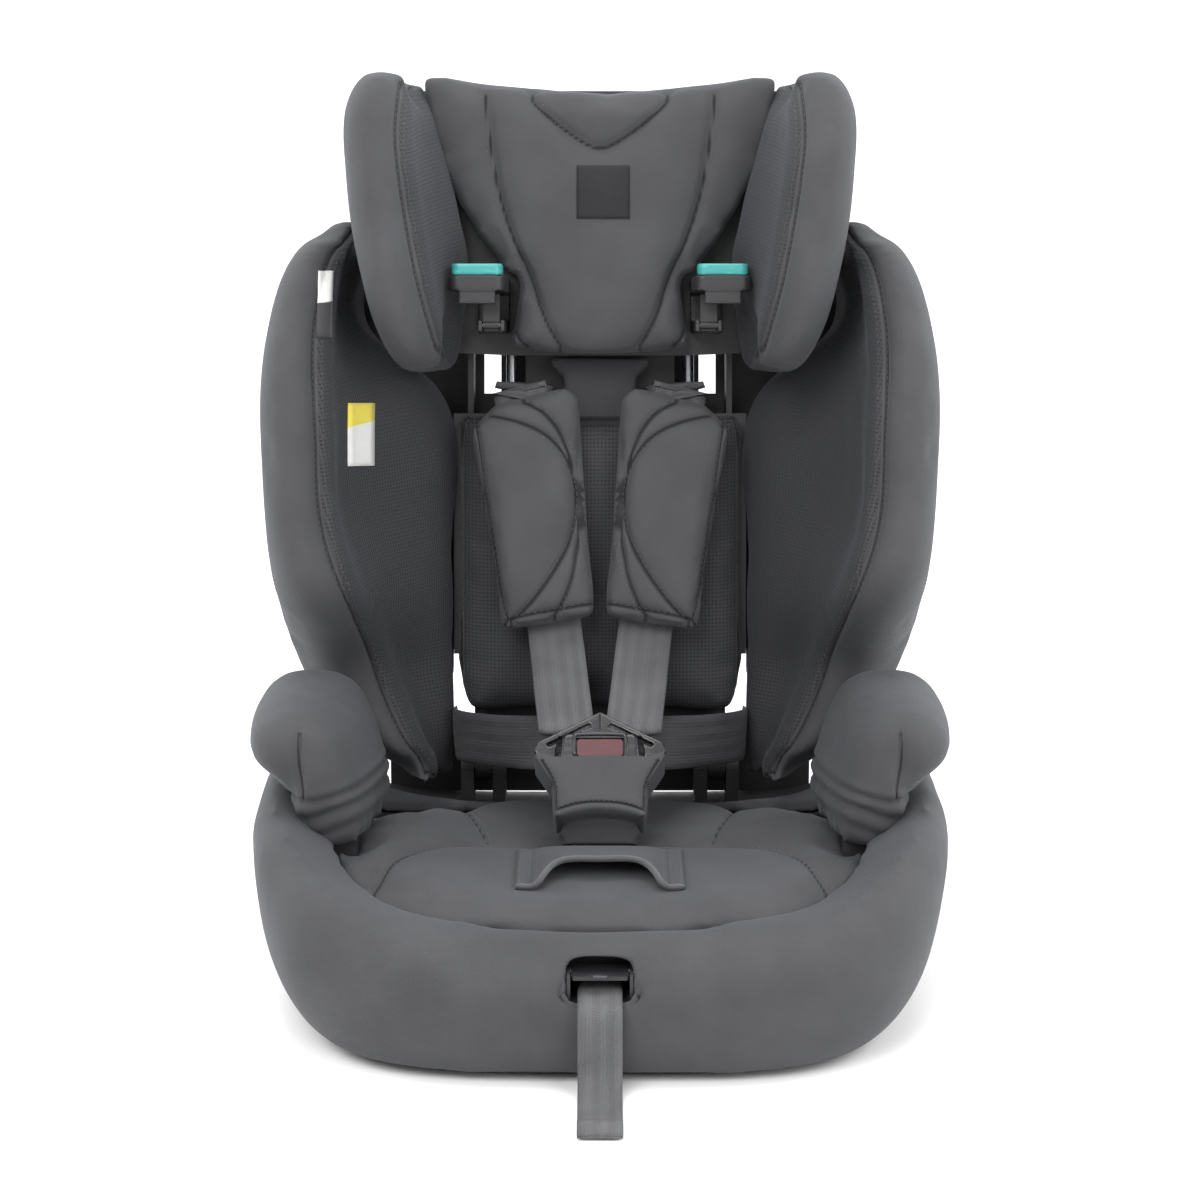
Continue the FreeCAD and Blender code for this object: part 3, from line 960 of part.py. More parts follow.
# ================================================================ ISOFIX
def make_isofix():
    """The sliding steel frame, its latch heads, hooks, buttons, and the guides in the base."""
    bar = rod((0, -55, ISOFIX_Z), X_AXIS, 7.0, 2 * ISOFIX_X)
    frame = bar
    guides, hook_pins = [], []
    half_w, half_h = ISOFIX_HEAD_WIDTH / 2, ISOFIX_HEAD_HEIGHT / 2
    for side, s in SIDES.items():
        x = s * ISOFIX_X
        arm = box(x - ISOFIX_ARM_WIDTH / 2, x + ISOFIX_ARM_WIDTH / 2, -62, ISOFIX_HEAD_FRONT + 12,
                  ISOFIX_Z - ISOFIX_ARM_HEIGHT / 2, ISOFIX_Z + ISOFIX_ARM_HEIGHT / 2)
        hollow = box(x - ISOFIX_ARM_WIDTH / 2 + 2, x + ISOFIX_ARM_WIDTH / 2 - 2, -40, ISOFIX_HEAD_FRONT - 4,
                     ISOFIX_Z - ISOFIX_ARM_HEIGHT / 2 + 2, ISOFIX_Z + ISOFIX_ARM_HEIGHT / 2 - 2)
        frame = frame.fuse(arm.cut(hollow))
        profile = [(ISOFIX_HEAD_FRONT, -half_h), (ISOFIX_HEAD_REAR, -half_h), (ISOFIX_HEAD_REAR, half_h),
                   (ISOFIX_HEAD_FRONT, half_h)]
        head = rounded_prism([V(x - half_w, y, ISOFIX_Z + dz) for y, dz in profile], 6.0,
                             V(ISOFIX_HEAD_WIDTH, 0, 0))
        head = soften(head, 2.0, X_AXIS)
        mouth = box(x - half_w - 1, x + half_w + 1, ISOFIX_HEAD_REAR - 26, ISOFIX_HEAD_REAR + 1,
                    ISOFIX_Z - ISOFIX_SLOT / 2, ISOFIX_Z + ISOFIX_SLOT / 2)
        seat = rod((x, ISOFIX_HEAD_REAR - 26, ISOFIX_Z), X_AXIS, ISOFIX_SLOT / 2, ISOFIX_HEAD_WIDTH + 2)
        pocket = box(x - 4, x + 4, HOOK_PIN_Y - 10, ISOFIX_HEAD_REAR - 8, ISOFIX_Z - 12, ISOFIX_Z + 40)
        button_well = box(x - 8.5, x + 8.5, HOOK_PIN_Y - 16, HOOK_PIN_Y + 6.5, ISOFIX_Z + 11.5, ISOFIX_Z + 40)
        hook_pin = rod((x, HOOK_PIN_Y, HOOK_PIN_Z), X_AXIS, HOOK_PIN_RADIUS, ISOFIX_HEAD_WIDTH - 6)
        save(f"isofix_head_{side}", head.cut([mouth, seat, pocket, button_well, arm, hook_pin]))
        hook_pins.append(hook_pin)
        arm_low, arm_high = HOOK_PIN_Z - 2.6, HOOK_PIN_Z + 2.6
        profile = [(-6, arm_low), (-6, arm_high), (24, arm_high), (24, ISOFIX_Z - 1), (18.5, ISOFIX_Z - 1),
                   (18.5, arm_low)]
        hook = outline_face([V(x - 3, HOOK_PIN_Y + y, z) for y, z in profile]).extrude(V(6, 0, 0))
        hook = hook.cut(rod((x, HOOK_PIN_Y, HOOK_PIN_Z), X_AXIS, HOOK_PIN_RADIUS + PIN_CLEARANCE, 20))
        save(f"isofix_hook_{side}", hook)
        y0, y1, z0 = HOOK_PIN_Y - 8.6, HOOK_PIN_Y + 5.4, ISOFIX_Z + 12.5
        corners = [(x - 8, y0), (x + 8, y0), (x + 8, y1), (x - 8, y1)]
        button = rounded_prism(level(corners, z0), 3.0, V(0, 0, 6))
        save(f"isofix_button_{side}", button)
        outer_half, bore_half = ISOFIX_ARM_WIDTH / 2 + 4, ISOFIX_ARM_WIDTH / 2 + BODY_GAP
        rise = ISOFIX_ARM_HEIGHT / 2 + BODY_GAP
        guide = box(x - outer_half, x + outer_half, 48, 112, ISOFIX_Z - 11.5, ISOFIX_Z + 12)
        guide = guide.cut(box(x - bore_half, x + bore_half, 47, 113, ISOFIX_Z - rise, ISOFIX_Z + rise))
        guides.append(guide)
    save("isofix_guides", Part.makeCompound(guides))
    save("isofix_hook_pins", Part.makeCompound(hook_pins))
    save("isofix_frame", frame)


make_base()
make_adjuster()
make_backrest()
make_headrest()
make_buckle()
make_harness()
make_isofix()
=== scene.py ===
"""Looks of a forward-facing child car seat: padded covers, harness webbing, buckle and shells.

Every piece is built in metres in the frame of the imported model. Shapes on the backrest, the headrest,
the buckle and the shoulder pads are drawn in upright frames of their own, which Axes turns into place.
"""

import json
import logging
import math
from dataclasses import dataclass

import bmesh
import bpy
import numpy as np
from mathutils import Matrix, Vector
from mathutils.bvhtree import BVHTree


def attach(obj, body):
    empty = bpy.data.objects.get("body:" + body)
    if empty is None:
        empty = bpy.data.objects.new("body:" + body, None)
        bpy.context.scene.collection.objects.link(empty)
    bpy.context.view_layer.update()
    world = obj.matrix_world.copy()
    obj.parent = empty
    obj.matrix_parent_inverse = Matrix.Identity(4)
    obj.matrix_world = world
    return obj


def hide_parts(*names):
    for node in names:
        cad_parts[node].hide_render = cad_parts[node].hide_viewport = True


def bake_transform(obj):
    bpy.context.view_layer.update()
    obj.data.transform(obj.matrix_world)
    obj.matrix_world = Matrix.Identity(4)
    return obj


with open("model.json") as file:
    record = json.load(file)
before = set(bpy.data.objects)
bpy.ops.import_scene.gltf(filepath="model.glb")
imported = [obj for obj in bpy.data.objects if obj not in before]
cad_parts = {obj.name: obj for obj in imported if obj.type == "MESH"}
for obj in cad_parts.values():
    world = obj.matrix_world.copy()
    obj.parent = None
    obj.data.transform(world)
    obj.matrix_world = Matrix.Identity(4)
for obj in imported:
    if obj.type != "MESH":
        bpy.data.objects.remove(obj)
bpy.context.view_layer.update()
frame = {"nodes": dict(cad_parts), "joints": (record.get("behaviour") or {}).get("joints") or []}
LOG = logging.getLogger("car_seat")
MM = 0.001
SIDES = {"left": -1.0, "right": 1.0}


# ==================================================================== frames and curves
@dataclass(frozen=True)
class Axes:
    """An upright drawing frame: its origin, and its x, y and z axes as rows, in the seat's frame."""

    origin: tuple[float, float, float]
    rows: tuple[tuple[float, float, float], ...] = ((1, 0, 0), (0, 1, 0), (0, 0, 1))

    @classmethod
    def leaned(cls, origin: tuple[float, float, float], up: tuple[float, float, float]) -> "Axes":
        """Makes a frame that keeps X and has its z axis along up.

        Args:
            origin: where the frame's origin lies.
            up: the direction of its z axis, square to X.

        Returns:
            The frame.
        """
        z = Vector(up).normalized()
        y = z.cross(Vector((1, 0, 0)))
        return cls(tuple(origin), ((1, 0, 0), tuple(y), tuple(z)))

    def to_row(self, points: np.ndarray) -> np.ndarray:
        """Takes points of this frame into the seat's frame."""
        return np.asarray(points, float) @ np.array(self.rows) + np.array(self.origin)

    def to_local(self, points: np.ndarray) -> np.ndarray:
        """Takes points of the seat's frame into this frame."""
        return (np.asarray(points, float) - np.array(self.origin)) @ np.array(self.rows).T

    def direction(self, vector: tuple[float, float, float]) -> Vector:
        """Turns a direction of this frame into the seat's frame."""
        return Vector(np.asarray(vector, float) @ np.array(self.rows))


def joint(name: str) -> dict:
    """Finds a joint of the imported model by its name."""
    return next(j for j in frame["joints"] if j["name"] == name)


RECLINE = joint("backrest_recline")
SEAT = Axes((0.0, 0.0, 0.0))
BACK = Axes.leaned(tuple(RECLINE["pos_m"]), tuple(joint("headrest_height")["axis"]))
BUCKLE = Axes.leaned((0.0, -0.052, 0.090), tuple(joint("tongue_left_out")["axis"]))


def smooth_path(points: list[tuple[float, ...]], step: float) -> np.ndarray:
    """Runs a smooth curve through points and samples it evenly.

    Args:
        points: the points that it passes through, in metres.
        step: the distance between samples.

    Returns:
        The samples, one per row.
    """
    p = np.asarray(points, float)
    if len(p) == 2:
        count = max(2, int(np.linalg.norm(p[1] - p[0]) / step) + 1)
        return p[0] + (p[1] - p[0]) * np.linspace(0, 1, count)[:, None]
    padded = np.vstack([2 * p[0] - p[1], p, 2 * p[-1] - p[-2]])
    dense = []
    for i in range(1, len(padded) - 2):
        a, b, c, d = padded[i - 1: i + 3]
        t = np.linspace(0, 1, 24, endpoint=False)[:, None]
        dense.append(0.5 * (2 * b + (c - a) * t + (2 * a - 5 * b + 4 * c - d) * t ** 2
                            + (3 * b - a - 3 * c + d) * t ** 3))
    dense = np.vstack(dense + [p[-1:]])
    along = np.concatenate([[0], np.cumsum(np.linalg.norm(np.diff(dense, axis=0), axis=1))])
    at = np.linspace(0, along[-1], max(2, int(round(along[-1] / step)) + 1))
    return np.stack([np.interp(at, along, dense[:, k]) for k in range(dense.shape[1])], axis=1)


def distance_to_path(points: np.ndarray, path: np.ndarray) -> tuple[np.ndarray, np.ndarray]:
    """Measures how far flat points lie from a flat path.

    Args:
        points: N points of a plane.
        path: the path's samples in the same plane.

    Returns:
        The distance of each point, and the same with the sign of the side that it lies on.
    """
    best = np.full(len(points), 1e9)
    sign = np.ones(len(points))
    for a, b in zip(path[:-1], path[1:]):
        run = b - a
        t = np.clip(((points - a) @ run) / max(run @ run, 1e-12), 0, 1)
        gap = points - (a + t[:, None] * run)
        far = np.hypot(gap[:, 0], gap[:, 1])
        nearer = far < best
        cross = run[0] * gap[:, 1] - run[1] * gap[:, 0]
        best = np.where(nearer, far, best)
        sign = np.where(nearer, np.sign(cross), sign)
    return best, best * np.where(sign == 0, 1, sign)


def mm(*points: tuple[float, ...]) -> list[tuple[float, ...]]:
    """Turns points in millimetres into metres."""
    return [tuple(v * MM for v in p) for p in points]


def flip_x(points: list[tuple[float, ...]], side: float) -> list[tuple[float, ...]]:
    """Mirrors points to the left side when side is negative."""
    return [(p[0] * side, *p[1:]) for p in points]


# ==================================================================== shader groups
class Shader:
    """Builds one node tree, a material's or a group's, with few words."""

    def __init__(self, tree: bpy.types.NodeTree) -> None:
        """Starts on a tree and empties it."""
        self.tree = tree
        self.tree.nodes.clear()

    def node(self, kind: str, inputs: dict | None = None, **settings) -> bpy.types.Node:
        """Adds a node, sets its properties, and sets or links its inputs.

        Args:
            kind: the node's type, without the ShaderNode prefix.
            inputs: socket name or number to a value or to another node's socket.
            **settings: the node's own properties.

        Returns:
            The node.
        """
        made = self.tree.nodes.new(kind if kind.startswith("Node") else "ShaderNode" + kind)
        for key, value in settings.items():
            setattr(made, key, value)
        for key, value in (inputs or {}).items():
            if isinstance(value, bpy.types.NodeSocket):
                self.tree.links.new(value, made.inputs[key])
            else:
                made.inputs[key].default_value = value
        return made

    def math(self, operation: str, a, b=0.0, clamp: bool = False) -> bpy.types.NodeSocket:
        """Adds a Math node and returns its result."""
        return self.node("Math", {0: a, 1: b}, operation=operation, use_clamp=clamp).outputs[0]

    def blend(self, factor, a, b) -> bpy.types.NodeSocket:
        """Mixes two colours by a factor and returns the result."""
        mix = self.node("Mix", {0: factor, 6: a, 7: b}, data_type="RGBA")
        return mix.outputs[2]

    def ramp(self, value, low: float, high: float, out_low: float = 0.0, out_high: float = 1.0):
        """Maps a value from one range to another, smoothly, and returns the result."""
        made = self.node("MapRange", {0: value, 1: low, 2: high, 3: out_low, 4: out_high},
                         interpolation_type="SMOOTHSTEP")
        return made.outputs[0]


def make_group(name: str, inputs: dict[str, tuple[str, float]], outputs: tuple[str, ...]):
    """Makes an empty shader node group with named sockets.

    Args:
        name: the group's name.
        inputs: socket name to its kind, Vector or Float, and its default.
        outputs: names of its float outputs.

    Returns:
        The group's tree, a Shader on it, and its input node.
    """
    tree = bpy.data.node_groups.new(name, "ShaderNodeTree")
    shader = Shader(tree)
    for label, (kind, default) in inputs.items():
        socket = tree.interface.new_socket(name=label, in_out="INPUT", socket_type="NodeSocket" + kind)
        if kind == "Float":
            socket.default_value = default
    for label in outputs:
        tree.interface.new_socket(name=label, in_out="OUTPUT", socket_type="NodeSocketFloat")
    return tree, shader, shader.node("NodeGroupInput")


def jersey_group() -> bpy.types.NodeTree:
    """Fine knitted softshell: rows of small stitches with a little unevenness."""
    tree, s, start = make_group("fine jersey", {"Vector": ("Vector", 0), "Pitch": ("Float", 0.0012)},
                                ("Height", "Shade"))
    scaled = s.node("VectorMath", {0: start.outputs["Vector"]}, operation="SCALE")
    s.tree.links.new(s.math("DIVIDE", 6.2832, start.outputs["Pitch"]), scaled.inputs["Scale"])
    parts = s.node("SeparateXYZ", {0: scaled.outputs[0]}).outputs
    across = s.math("SINE", s.math("ADD", parts[0], s.math("MULTIPLY", parts[1], 0.7)))
    up = s.math("SINE", s.math("ADD", parts[2], s.math("MULTIPLY", parts[1], 0.7)))
    weave = s.math("MULTIPLY", across, up)
    fuzz = s.node("TexNoise", {"Vector": start.outputs["Vector"], "Scale": 900.0, "Detail": 3.0})
    height = s.math("ADD", s.math("MULTIPLY", weave, 0.4), fuzz.outputs[0])
    patch = s.node("TexNoise", {"Vector": start.outputs["Vector"], "Scale": 28.0, "Detail": 4.0})
    shade = s.math("ADD", s.math("MULTIPLY", patch.outputs[0], 0.7), s.math("MULTIPLY", height, 0.16))
    s.node("NodeGroupOutput", {"Height": height, "Shade": shade})
    return tree


def spacer_group() -> bpy.types.NodeTree:
    """Spacer mesh: a regular diamond net of small pits."""
    tree, s, start = make_group("spacer mesh", {"Vector": ("Vector", 0), "Cell": ("Float", 0.0034)},
                                ("Height", "Pits"))
    scaled = s.node("VectorMath", {0: start.outputs["Vector"]}, operation="SCALE")
    s.tree.links.new(s.math("DIVIDE", 6.2832, start.outputs["Cell"]), scaled.inputs["Scale"])
    parts = s.node("SeparateXYZ", {0: scaled.outputs[0]}).outputs
    one = s.math("SINE", s.math("MULTIPLY", s.math("ADD", parts[0], parts[2]), 0.707))
    two = s.math("SINE", s.math("MULTIPLY", s.math("SUBTRACT", parts[0], parts[2]), 0.707))
    net = s.math("MULTIPLY", one, two)
    pits = s.ramp(net, 0.15, 0.75)
    fibre = s.node("TexNoise", {"Vector": start.outputs["Vector"], "Scale": 1400.0, "Detail": 2.0})
    height = s.math("ADD", s.math("SUBTRACT", 1.0, pits), s.math("MULTIPLY", fibre.outputs[0], 0.35))
    s.node("NodeGroupOutput", {"Height": height, "Pits": pits})
    return tree


def twill_group() -> bpy.types.NodeTree:
    """Seat-belt webbing: lengthwise ribs crossed by chevrons, in across and along coordinates."""
    tree, s, start = make_group("webbing twill", {"Across": ("Float", 0), "Along": ("Float", 0),
                                                  "Pitch": ("Float", 0.0016)}, ("Height", "Shade"))
    turn = s.math("DIVIDE", 6.2832, start.outputs["Pitch"])
    across = s.math("MULTIPLY", start.outputs["Across"], turn)
    along = s.math("MULTIPLY", start.outputs["Along"], turn)
    folded = s.math("PINGPONG", start.outputs["Across"], 0.0046)
    chevron = s.math("SINE", s.math("ADD", along, s.math("MULTIPLY", folded, turn)))
    ribs = s.math("SINE", s.math("MULTIPLY", across, 0.8))
    height = s.math("ADD", s.math("MULTIPLY", chevron, 0.5), s.math("MULTIPLY", ribs, 0.35))
    band = s.math("SINE", s.math("MULTIPLY", across, 0.185))
    shade = s.math("ADD", s.math("MULTIPLY", height, 0.4), s.math("MULTIPLY", band, 0.35))
    s.node("NodeGroupOutput", {"Height": height, "Shade": shade})
    return tree


def grain_group() -> bpy.types.NodeTree:
    """Moulded plastic: a fine spark-eroded grain with faint scuffs and dust."""
    tree, s, start = make_group("moulded grain", {"Vector": ("Vector", 0), "Grain": ("Float", 1300.0)},
                                ("Height", "Dust"))
    fine = s.node("TexNoise", {"Vector": start.outputs["Vector"], "Scale": start.outputs["Grain"],
                               "Detail": 4.0})
    cells = s.node("TexVoronoi", {"Vector": start.outputs["Vector"], "Scale": start.outputs["Grain"]})
    height = s.math("ADD", fine.outputs[0], s.math("MULTIPLY", cells.outputs[0], 0.5))
    stretched = s.node("Mapping", {"Vector": start.outputs["Vector"], "Scale": (30.0, 30.0, 140.0)})
    scuffs = s.node("TexNoise", {"Vector": stretched.outputs[0], "Scale": 3.0, "Detail": 6.0})
    s.node("NodeGroupOutput", {"Height": height, "Dust": s.ramp(scuffs.outputs[0], 0.5, 0.75)})
    return tree


class Effects:
    """The shared shader groups, each built once."""

    jersey = jersey_group()
    spacer = spacer_group()
    twill = twill_group()
    grain = grain_group()


# ==================================================================== finishes
@dataclass(frozen=True)
class Finish:
    """What every finish has: a name and a colour, and a material that is built from them."""

    name: str
    colour: tuple[float, float, float]

    def start(self) -> tuple[bpy.types.Material, Shader, bpy.types.NodeSocket]:
        """Makes an empty material.

        Returns:
            The material, a Shader on it, and its object coordinates.
        """
        material = bpy.data.materials.new(self.name)
        material.use_nodes = True
        material.diffuse_color = (*self.colour, 1.0)
        shader = Shader(material.node_tree)
        return material, shader, shader.node("TexCoord").outputs["Object"]

    def tone(self, share: float) -> tuple[float, float, float, float]:
        """The finish's colour made lighter or darker by a share."""
        return (*(min(1.0, c * share) for c in self.colour), 1.0)

    def close(self, s: Shader, colour, roughness, normal, **settings) -> None:
        """Adds the surface shader and the output.

        Args:
            s: the material's Shader.
            colour: the base colour's socket or value.
            roughness: the roughness's socket or value.
            normal: the bumped normal's socket.
            **settings: further inputs of the surface shader, by name with underscores for spaces.
        """
        inputs = {"Base Color": colour, "Roughness": roughness, "Normal": normal}
        inputs.update({key.replace("_", " "): value for key, value in settings.items()})
        surface = s.node("BsdfPrincipled", inputs)
        s.node("OutputMaterial", {"Surface": surface.outputs[0]})


@dataclass(frozen=True)
class CoverCloth(Finish):
    """Smooth softshell, with spacer mesh where the piece's panel attribute is above zero; on sewn pieces, painted shade
    darkens the cloth along the seams.
    """

    mesh_colour: tuple[float, float, float] = (0.024, 0.0245, 0.027)
    turn: float = 0.0
    sewn: bool = False
    cell: float = 0.0036

    def material(self) -> bpy.types.Material:
        """Builds the material.

        Returns:
            The material.
        """
        material, s, place = self.start()
        jersey = s.node("Group", {"Vector": place, "Pitch": 0.0013}, node_tree=Effects.jersey)
        wide = s.node("TexNoise", {"Vector": place, "Scale": 7.0, "Detail": 3.0})
        tint = s.math("ADD", s.math("MULTIPLY", jersey.outputs["Shade"], 0.75), s.math("MULTIPLY", wide.outputs[0], 0.25))
        colour = s.blend(tint, self.tone(0.66), self.tone(1.42))
        height = s.math("MULTIPLY", jersey.outputs["Height"], 0.00022)
        rough = s.ramp(jersey.outputs["Shade"], 0.1, 0.9, 0.78, 0.62)
        if self.sewn:
            turned = s.node("Mapping", {"Vector": place, "Rotation": (0.0, 0.0, self.turn)})
            mesh = s.node("Group", {"Vector": turned.outputs[0], "Cell": self.cell}, node_tree=Effects.spacer)
            panel = s.node("Attribute", attribute_name="panel").outputs["Fac"]
            mask = s.ramp(panel, -0.0006, 0.0006)
            net = s.blend(mesh.outputs["Pits"], (*(c * 1.5 for c in self.mesh_colour), 1),
                          (*(c * 0.42 for c in self.mesh_colour), 1))
            colour = s.blend(mask, colour, s.blend(s.math("MULTIPLY", wide.outputs[0], 0.5), net, self.tone(0.5)))
            height = s.node("Mix", {0: mask, 2: height, 3: s.math("MULTIPLY", mesh.outputs["Height"], 0.0004)},
                            data_type="FLOAT").outputs[0]
            # painted shade: within about 1.6 mm of a seam the colour falls to a quarter of the cloth's, standing for
            # the shade in the seam's crease; the same mask also lowers the bump towards the seam
            seam = s.node("Attribute", attribute_name="seam").outputs["Fac"]
            fold = s.ramp(seam, 0.0003, 0.0016)
            colour = s.blend(fold, self.tone(0.25), colour)
            height = s.math("ADD", height, s.math("MULTIPLY", fold, 0.0012))
        bump = s.node("Bump", {"Height": height, "Strength": 0.75, "Distance": 1.0})
        self.close(s, colour, rough, bump.outputs[0], Sheen_Weight=0.10, Sheen_Roughness=0.45,
                   Sheen_Tint=(0.75, 0.78, 0.85, 1.0), Specular_IOR_Level=0.28)
        return material


@dataclass(frozen=True)
class BeltWeave(Finish):
    """Harness webbing, drawn in the strap's own across and along coordinates."""

    pitch: float = 0.0017

    def material(self) -> bpy.types.Material:
        """Builds the material.

        Returns:
            The material.
        """
        material, s, place = self.start()
        across = s.node("Attribute", attribute_name="across").outputs["Fac"]
        along = s.node("Attribute", attribute_name="along").outputs["Fac"]
        twill = s.node("Group", {"Across": across, "Along": along, "Pitch": self.pitch}, node_tree=Effects.twill)
        worn = s.node("TexNoise", {"Vector": place, "Scale": 45.0, "Detail": 4.0})
        tint = s.math("ADD", s.math("MULTIPLY", twill.outputs["Shade"], 0.35),
                      s.math("MULTIPLY", worn.outputs[0], 0.95), clamp=True)
        colour = s.blend(tint, self.tone(0.62), self.tone(1.5))
        bump = s.node("Bump", {"Height": s.math("MULTIPLY", twill.outputs["Height"], 0.00035),
                               "Strength": 0.8, "Distance": 1.0})
        self.close(s, colour, s.ramp(worn.outputs[0], 0.2, 0.8, 0.42, 0.58), bump.outputs[0],
                   Sheen_Weight=0.08, Specular_IOR_Level=0.45)
        return material


@dataclass(frozen=True)
class Moulding(Finish):
    """Moulded plastic with grain, scuffs and dust."""

    roughness: float = 0.45
    grain: float = 1100.0
    depth: float = 0.00012
    coat: float = 0.0

    def material(self) -> bpy.types.Material:
        """Builds the material.

        Returns:
            The material.
        """
        material, s, place = self.start()
        grain = s.node("Group", {"Vector": place, "Grain": self.grain}, node_tree=Effects.grain)
        dust = s.math("MULTIPLY", grain.outputs["Dust"], 0.35)
        colour = s.blend(dust, self.tone(0.9), self.tone(1.9))
        rough = s.math("ADD", s.math("MULTIPLY", grain.outputs["Dust"], 0.16), self.roughness)
        bump = s.node("Bump", {"Height": s.math("MULTIPLY", grain.outputs["Height"], self.depth),
                               "Strength": 0.6, "Distance": 1.0})
        self.close(s, colour, rough, bump.outputs[0], Coat_Weight=self.coat, Coat_Roughness=0.15)
        return material


@dataclass(frozen=True)
class Metal(Finish):
    """Drawn or stamped steel with fine lengthwise scratches."""

    roughness: float = 0.3

    def material(self) -> bpy.types.Material:
        """Builds the material.

        Returns:
            The material.
        """
        material, s, place = self.start()
        drawn = s.node("Mapping", {"Vector": place, "Scale": (900.0, 900.0, 18.0)})
        lines = s.node("TexNoise", {"Vector": drawn.outputs[0], "Scale": 1.0, "Detail": 5.0})
        colour = s.blend(lines.outputs[0], self.tone(0.75), self.tone(1.15))
        rough = s.ramp(lines.outputs[0], 0.25, 0.75, self.roughness - 0.08, self.roughness + 0.14)
        bump = s.node("Bump", {"Height": s.math("MULTIPLY", lines.outputs[0], 0.00004), "Strength": 0.5,
                               "Distance": 1.0})
        self.close(s, colour, rough, bump.outputs[0], Metallic=1.0)
        return material


@dataclass(frozen=True)
class Thread(Finish):
    """Sewing thread and bound edges: a tight twist of fibre."""

    def material(self) -> bpy.types.Material:
        """Builds the material.

        Returns:
            The material.
        """
        material, s, place = self.start()
        twist = s.node("TexWave", {"Vector": place, "Scale": 420.0, "Distortion": 1.2, "Detail": 2.0},
                       bands_direction="DIAGONAL")
        colour = s.blend(twist.outputs["Fac"], self.tone(0.7), self.tone(1.35))
        bump = s.node("Bump", {"Height": s.math("MULTIPLY", twist.outputs["Fac"], 0.0002), "Strength": 0.6,
                               "Distance": 1.0})
        self.close(s, colour, s.ramp(twist.outputs["Fac"], 0.0, 1.0, 0.75, 0.55), bump.outputs[0],
                   Sheen_Weight=0.3)
        return material


@dataclass(frozen=True)
class WovenLabel(Finish):
    """A plain woven satin label, with a second colour on its upper half where band is above zero."""

    band: tuple[float, float, float] = (0.8, 0.8, 0.8)
    band_from: float = 10.0

    def material(self) -> bpy.types.Material:
        """Builds the material.

        Returns:
            The material.
        """
        material, s, place = self.start()
        height = s.node("SeparateXYZ", {0: place}).outputs[2]
        upper = s.ramp(height, self.band_from - 0.0004, self.band_from + 0.0004)
        rows = s.node("TexWave", {"Vector": place, "Scale": 900.0, "Distortion": 0.4}, bands_direction="Z")
        wear = s.node("TexNoise", {"Vector": place, "Scale": 160.0, "Detail": 4.0})
        base = s.blend(upper, self.tone(1.0), (*self.band, 1.0))
        colour = s.blend(s.math("MULTIPLY", wear.outputs[0], 0.25), base, self.tone(0.55))
        bump = s.node("Bump", {"Height": s.math("MULTIPLY", rows.outputs["Fac"], 0.00012), "Strength": 0.6,
                               "Distance": 1.0})
        self.close(s, colour, s.ramp(wear.outputs[0], 0.2, 0.8, 0.5, 0.7), bump.outputs[0], Sheen_Weight=0.2)
        return material


@dataclass(frozen=True)
class StudioFloor(Finish):
    """A pale matt floor."""

    def material(self) -> bpy.types.Material:
        """Builds the material.

        Returns:
            The material.
        """
        material, s, place = self.start()
        mottle = s.node("TexNoise", {"Vector": place, "Scale": 3.0, "Detail": 5.0})
        colour = s.blend(mottle.outputs[0], self.tone(0.985), self.tone(1.0))
        bump = s.node("Bump", {"Height": s.math("MULTIPLY", mottle.outputs[0], 0.0002), "Strength": 0.2,
                               "Distance": 1.0})
        self.close(s, colour, 0.85, bump.outputs[0], Specular_IOR_Level=0.2)
        return material


CLOTH_GREY = (0.048, 0.0485, 0.052)


class Palette:
    """The seat's finishes, each made into a material once."""

    def __init__(self) -> None:
        """Builds every material."""
        self.cover = CoverCloth("cover softshell", CLOTH_GREY).material()
        # the sewn materials paint shade along the seams, read from the seam attribute
        self.sewn = CoverCloth("sewn softshell", CLOTH_GREY, sewn=True).material()
        self.cover_front = CoverCloth("cover with front mesh", CLOTH_GREY, sewn=True).material()
        self.cover_right = CoverCloth("cover with right mesh", CLOTH_GREY, sewn=True, turn=1.19).material()
        self.cover_left = CoverCloth("cover with left mesh", CLOTH_GREY, sewn=True, turn=-1.19).material()
        self.seat_knit = CoverCloth("seat knit", (0.044, 0.0445, 0.048)).material()
        # painted shade: a near-black copy of the cover cloth, for the sleeve in the shaded gap under the buckle's cover
        self.painted_shade_cloth = CoverCloth("shaded cloth", (0.018, 0.018, 0.020)).material()
        self.binding = Thread("binding tape", (0.034, 0.0345, 0.038)).material()
        self.thread = Thread("stitching", (0.040, 0.0405, 0.044)).material()
        self.webbing = BeltWeave("harness webbing", (0.074, 0.075, 0.080)).material()
        self.dark_webbing = BeltWeave("dark webbing", (0.034, 0.0345, 0.038)).material()
        self.black = Moulding("black moulding", (0.016, 0.016, 0.018)).material()
        self.shell = Moulding("shell moulding", (0.020, 0.020, 0.022), roughness=0.5, depth=0.0002).material()
        self.gloss = Moulding("buckle moulding", (0.012, 0.012, 0.014), roughness=0.26, depth=0.00003,
                              coat=0.3).material()
        self.teal = Moulding("teal insert", (0.045, 0.30, 0.285), roughness=0.34, depth=0.00005).material()
        self.red = Moulding("release button", (0.075, 0.013, 0.017), roughness=0.36, depth=0.00005).material()
        self.green = Moulding("indicator green", (0.05, 0.28, 0.09), roughness=0.36).material()
        self.steel = Metal("steel", (0.46, 0.47, 0.49)).material()
        self.patch = CoverCloth("blank patch", (0.014, 0.014, 0.016)).material()
        self.white_label = WovenLabel("white label", (0.72, 0.72, 0.70)).material()
        self.yellow_label = WovenLabel("two-colour label", (0.70, 0.70, 0.68), band=(0.72, 0.60, 0.03),
                                       band_from=0.353).material()
        self.dark_label = WovenLabel("dark label", (0.025, 0.025, 0.027), band=(0.72, 0.72, 0.70),
                                     band_from=0.438).material()
        self.floor = StudioFloor("studio floor", (0.90, 0.90, 0.90)).material()


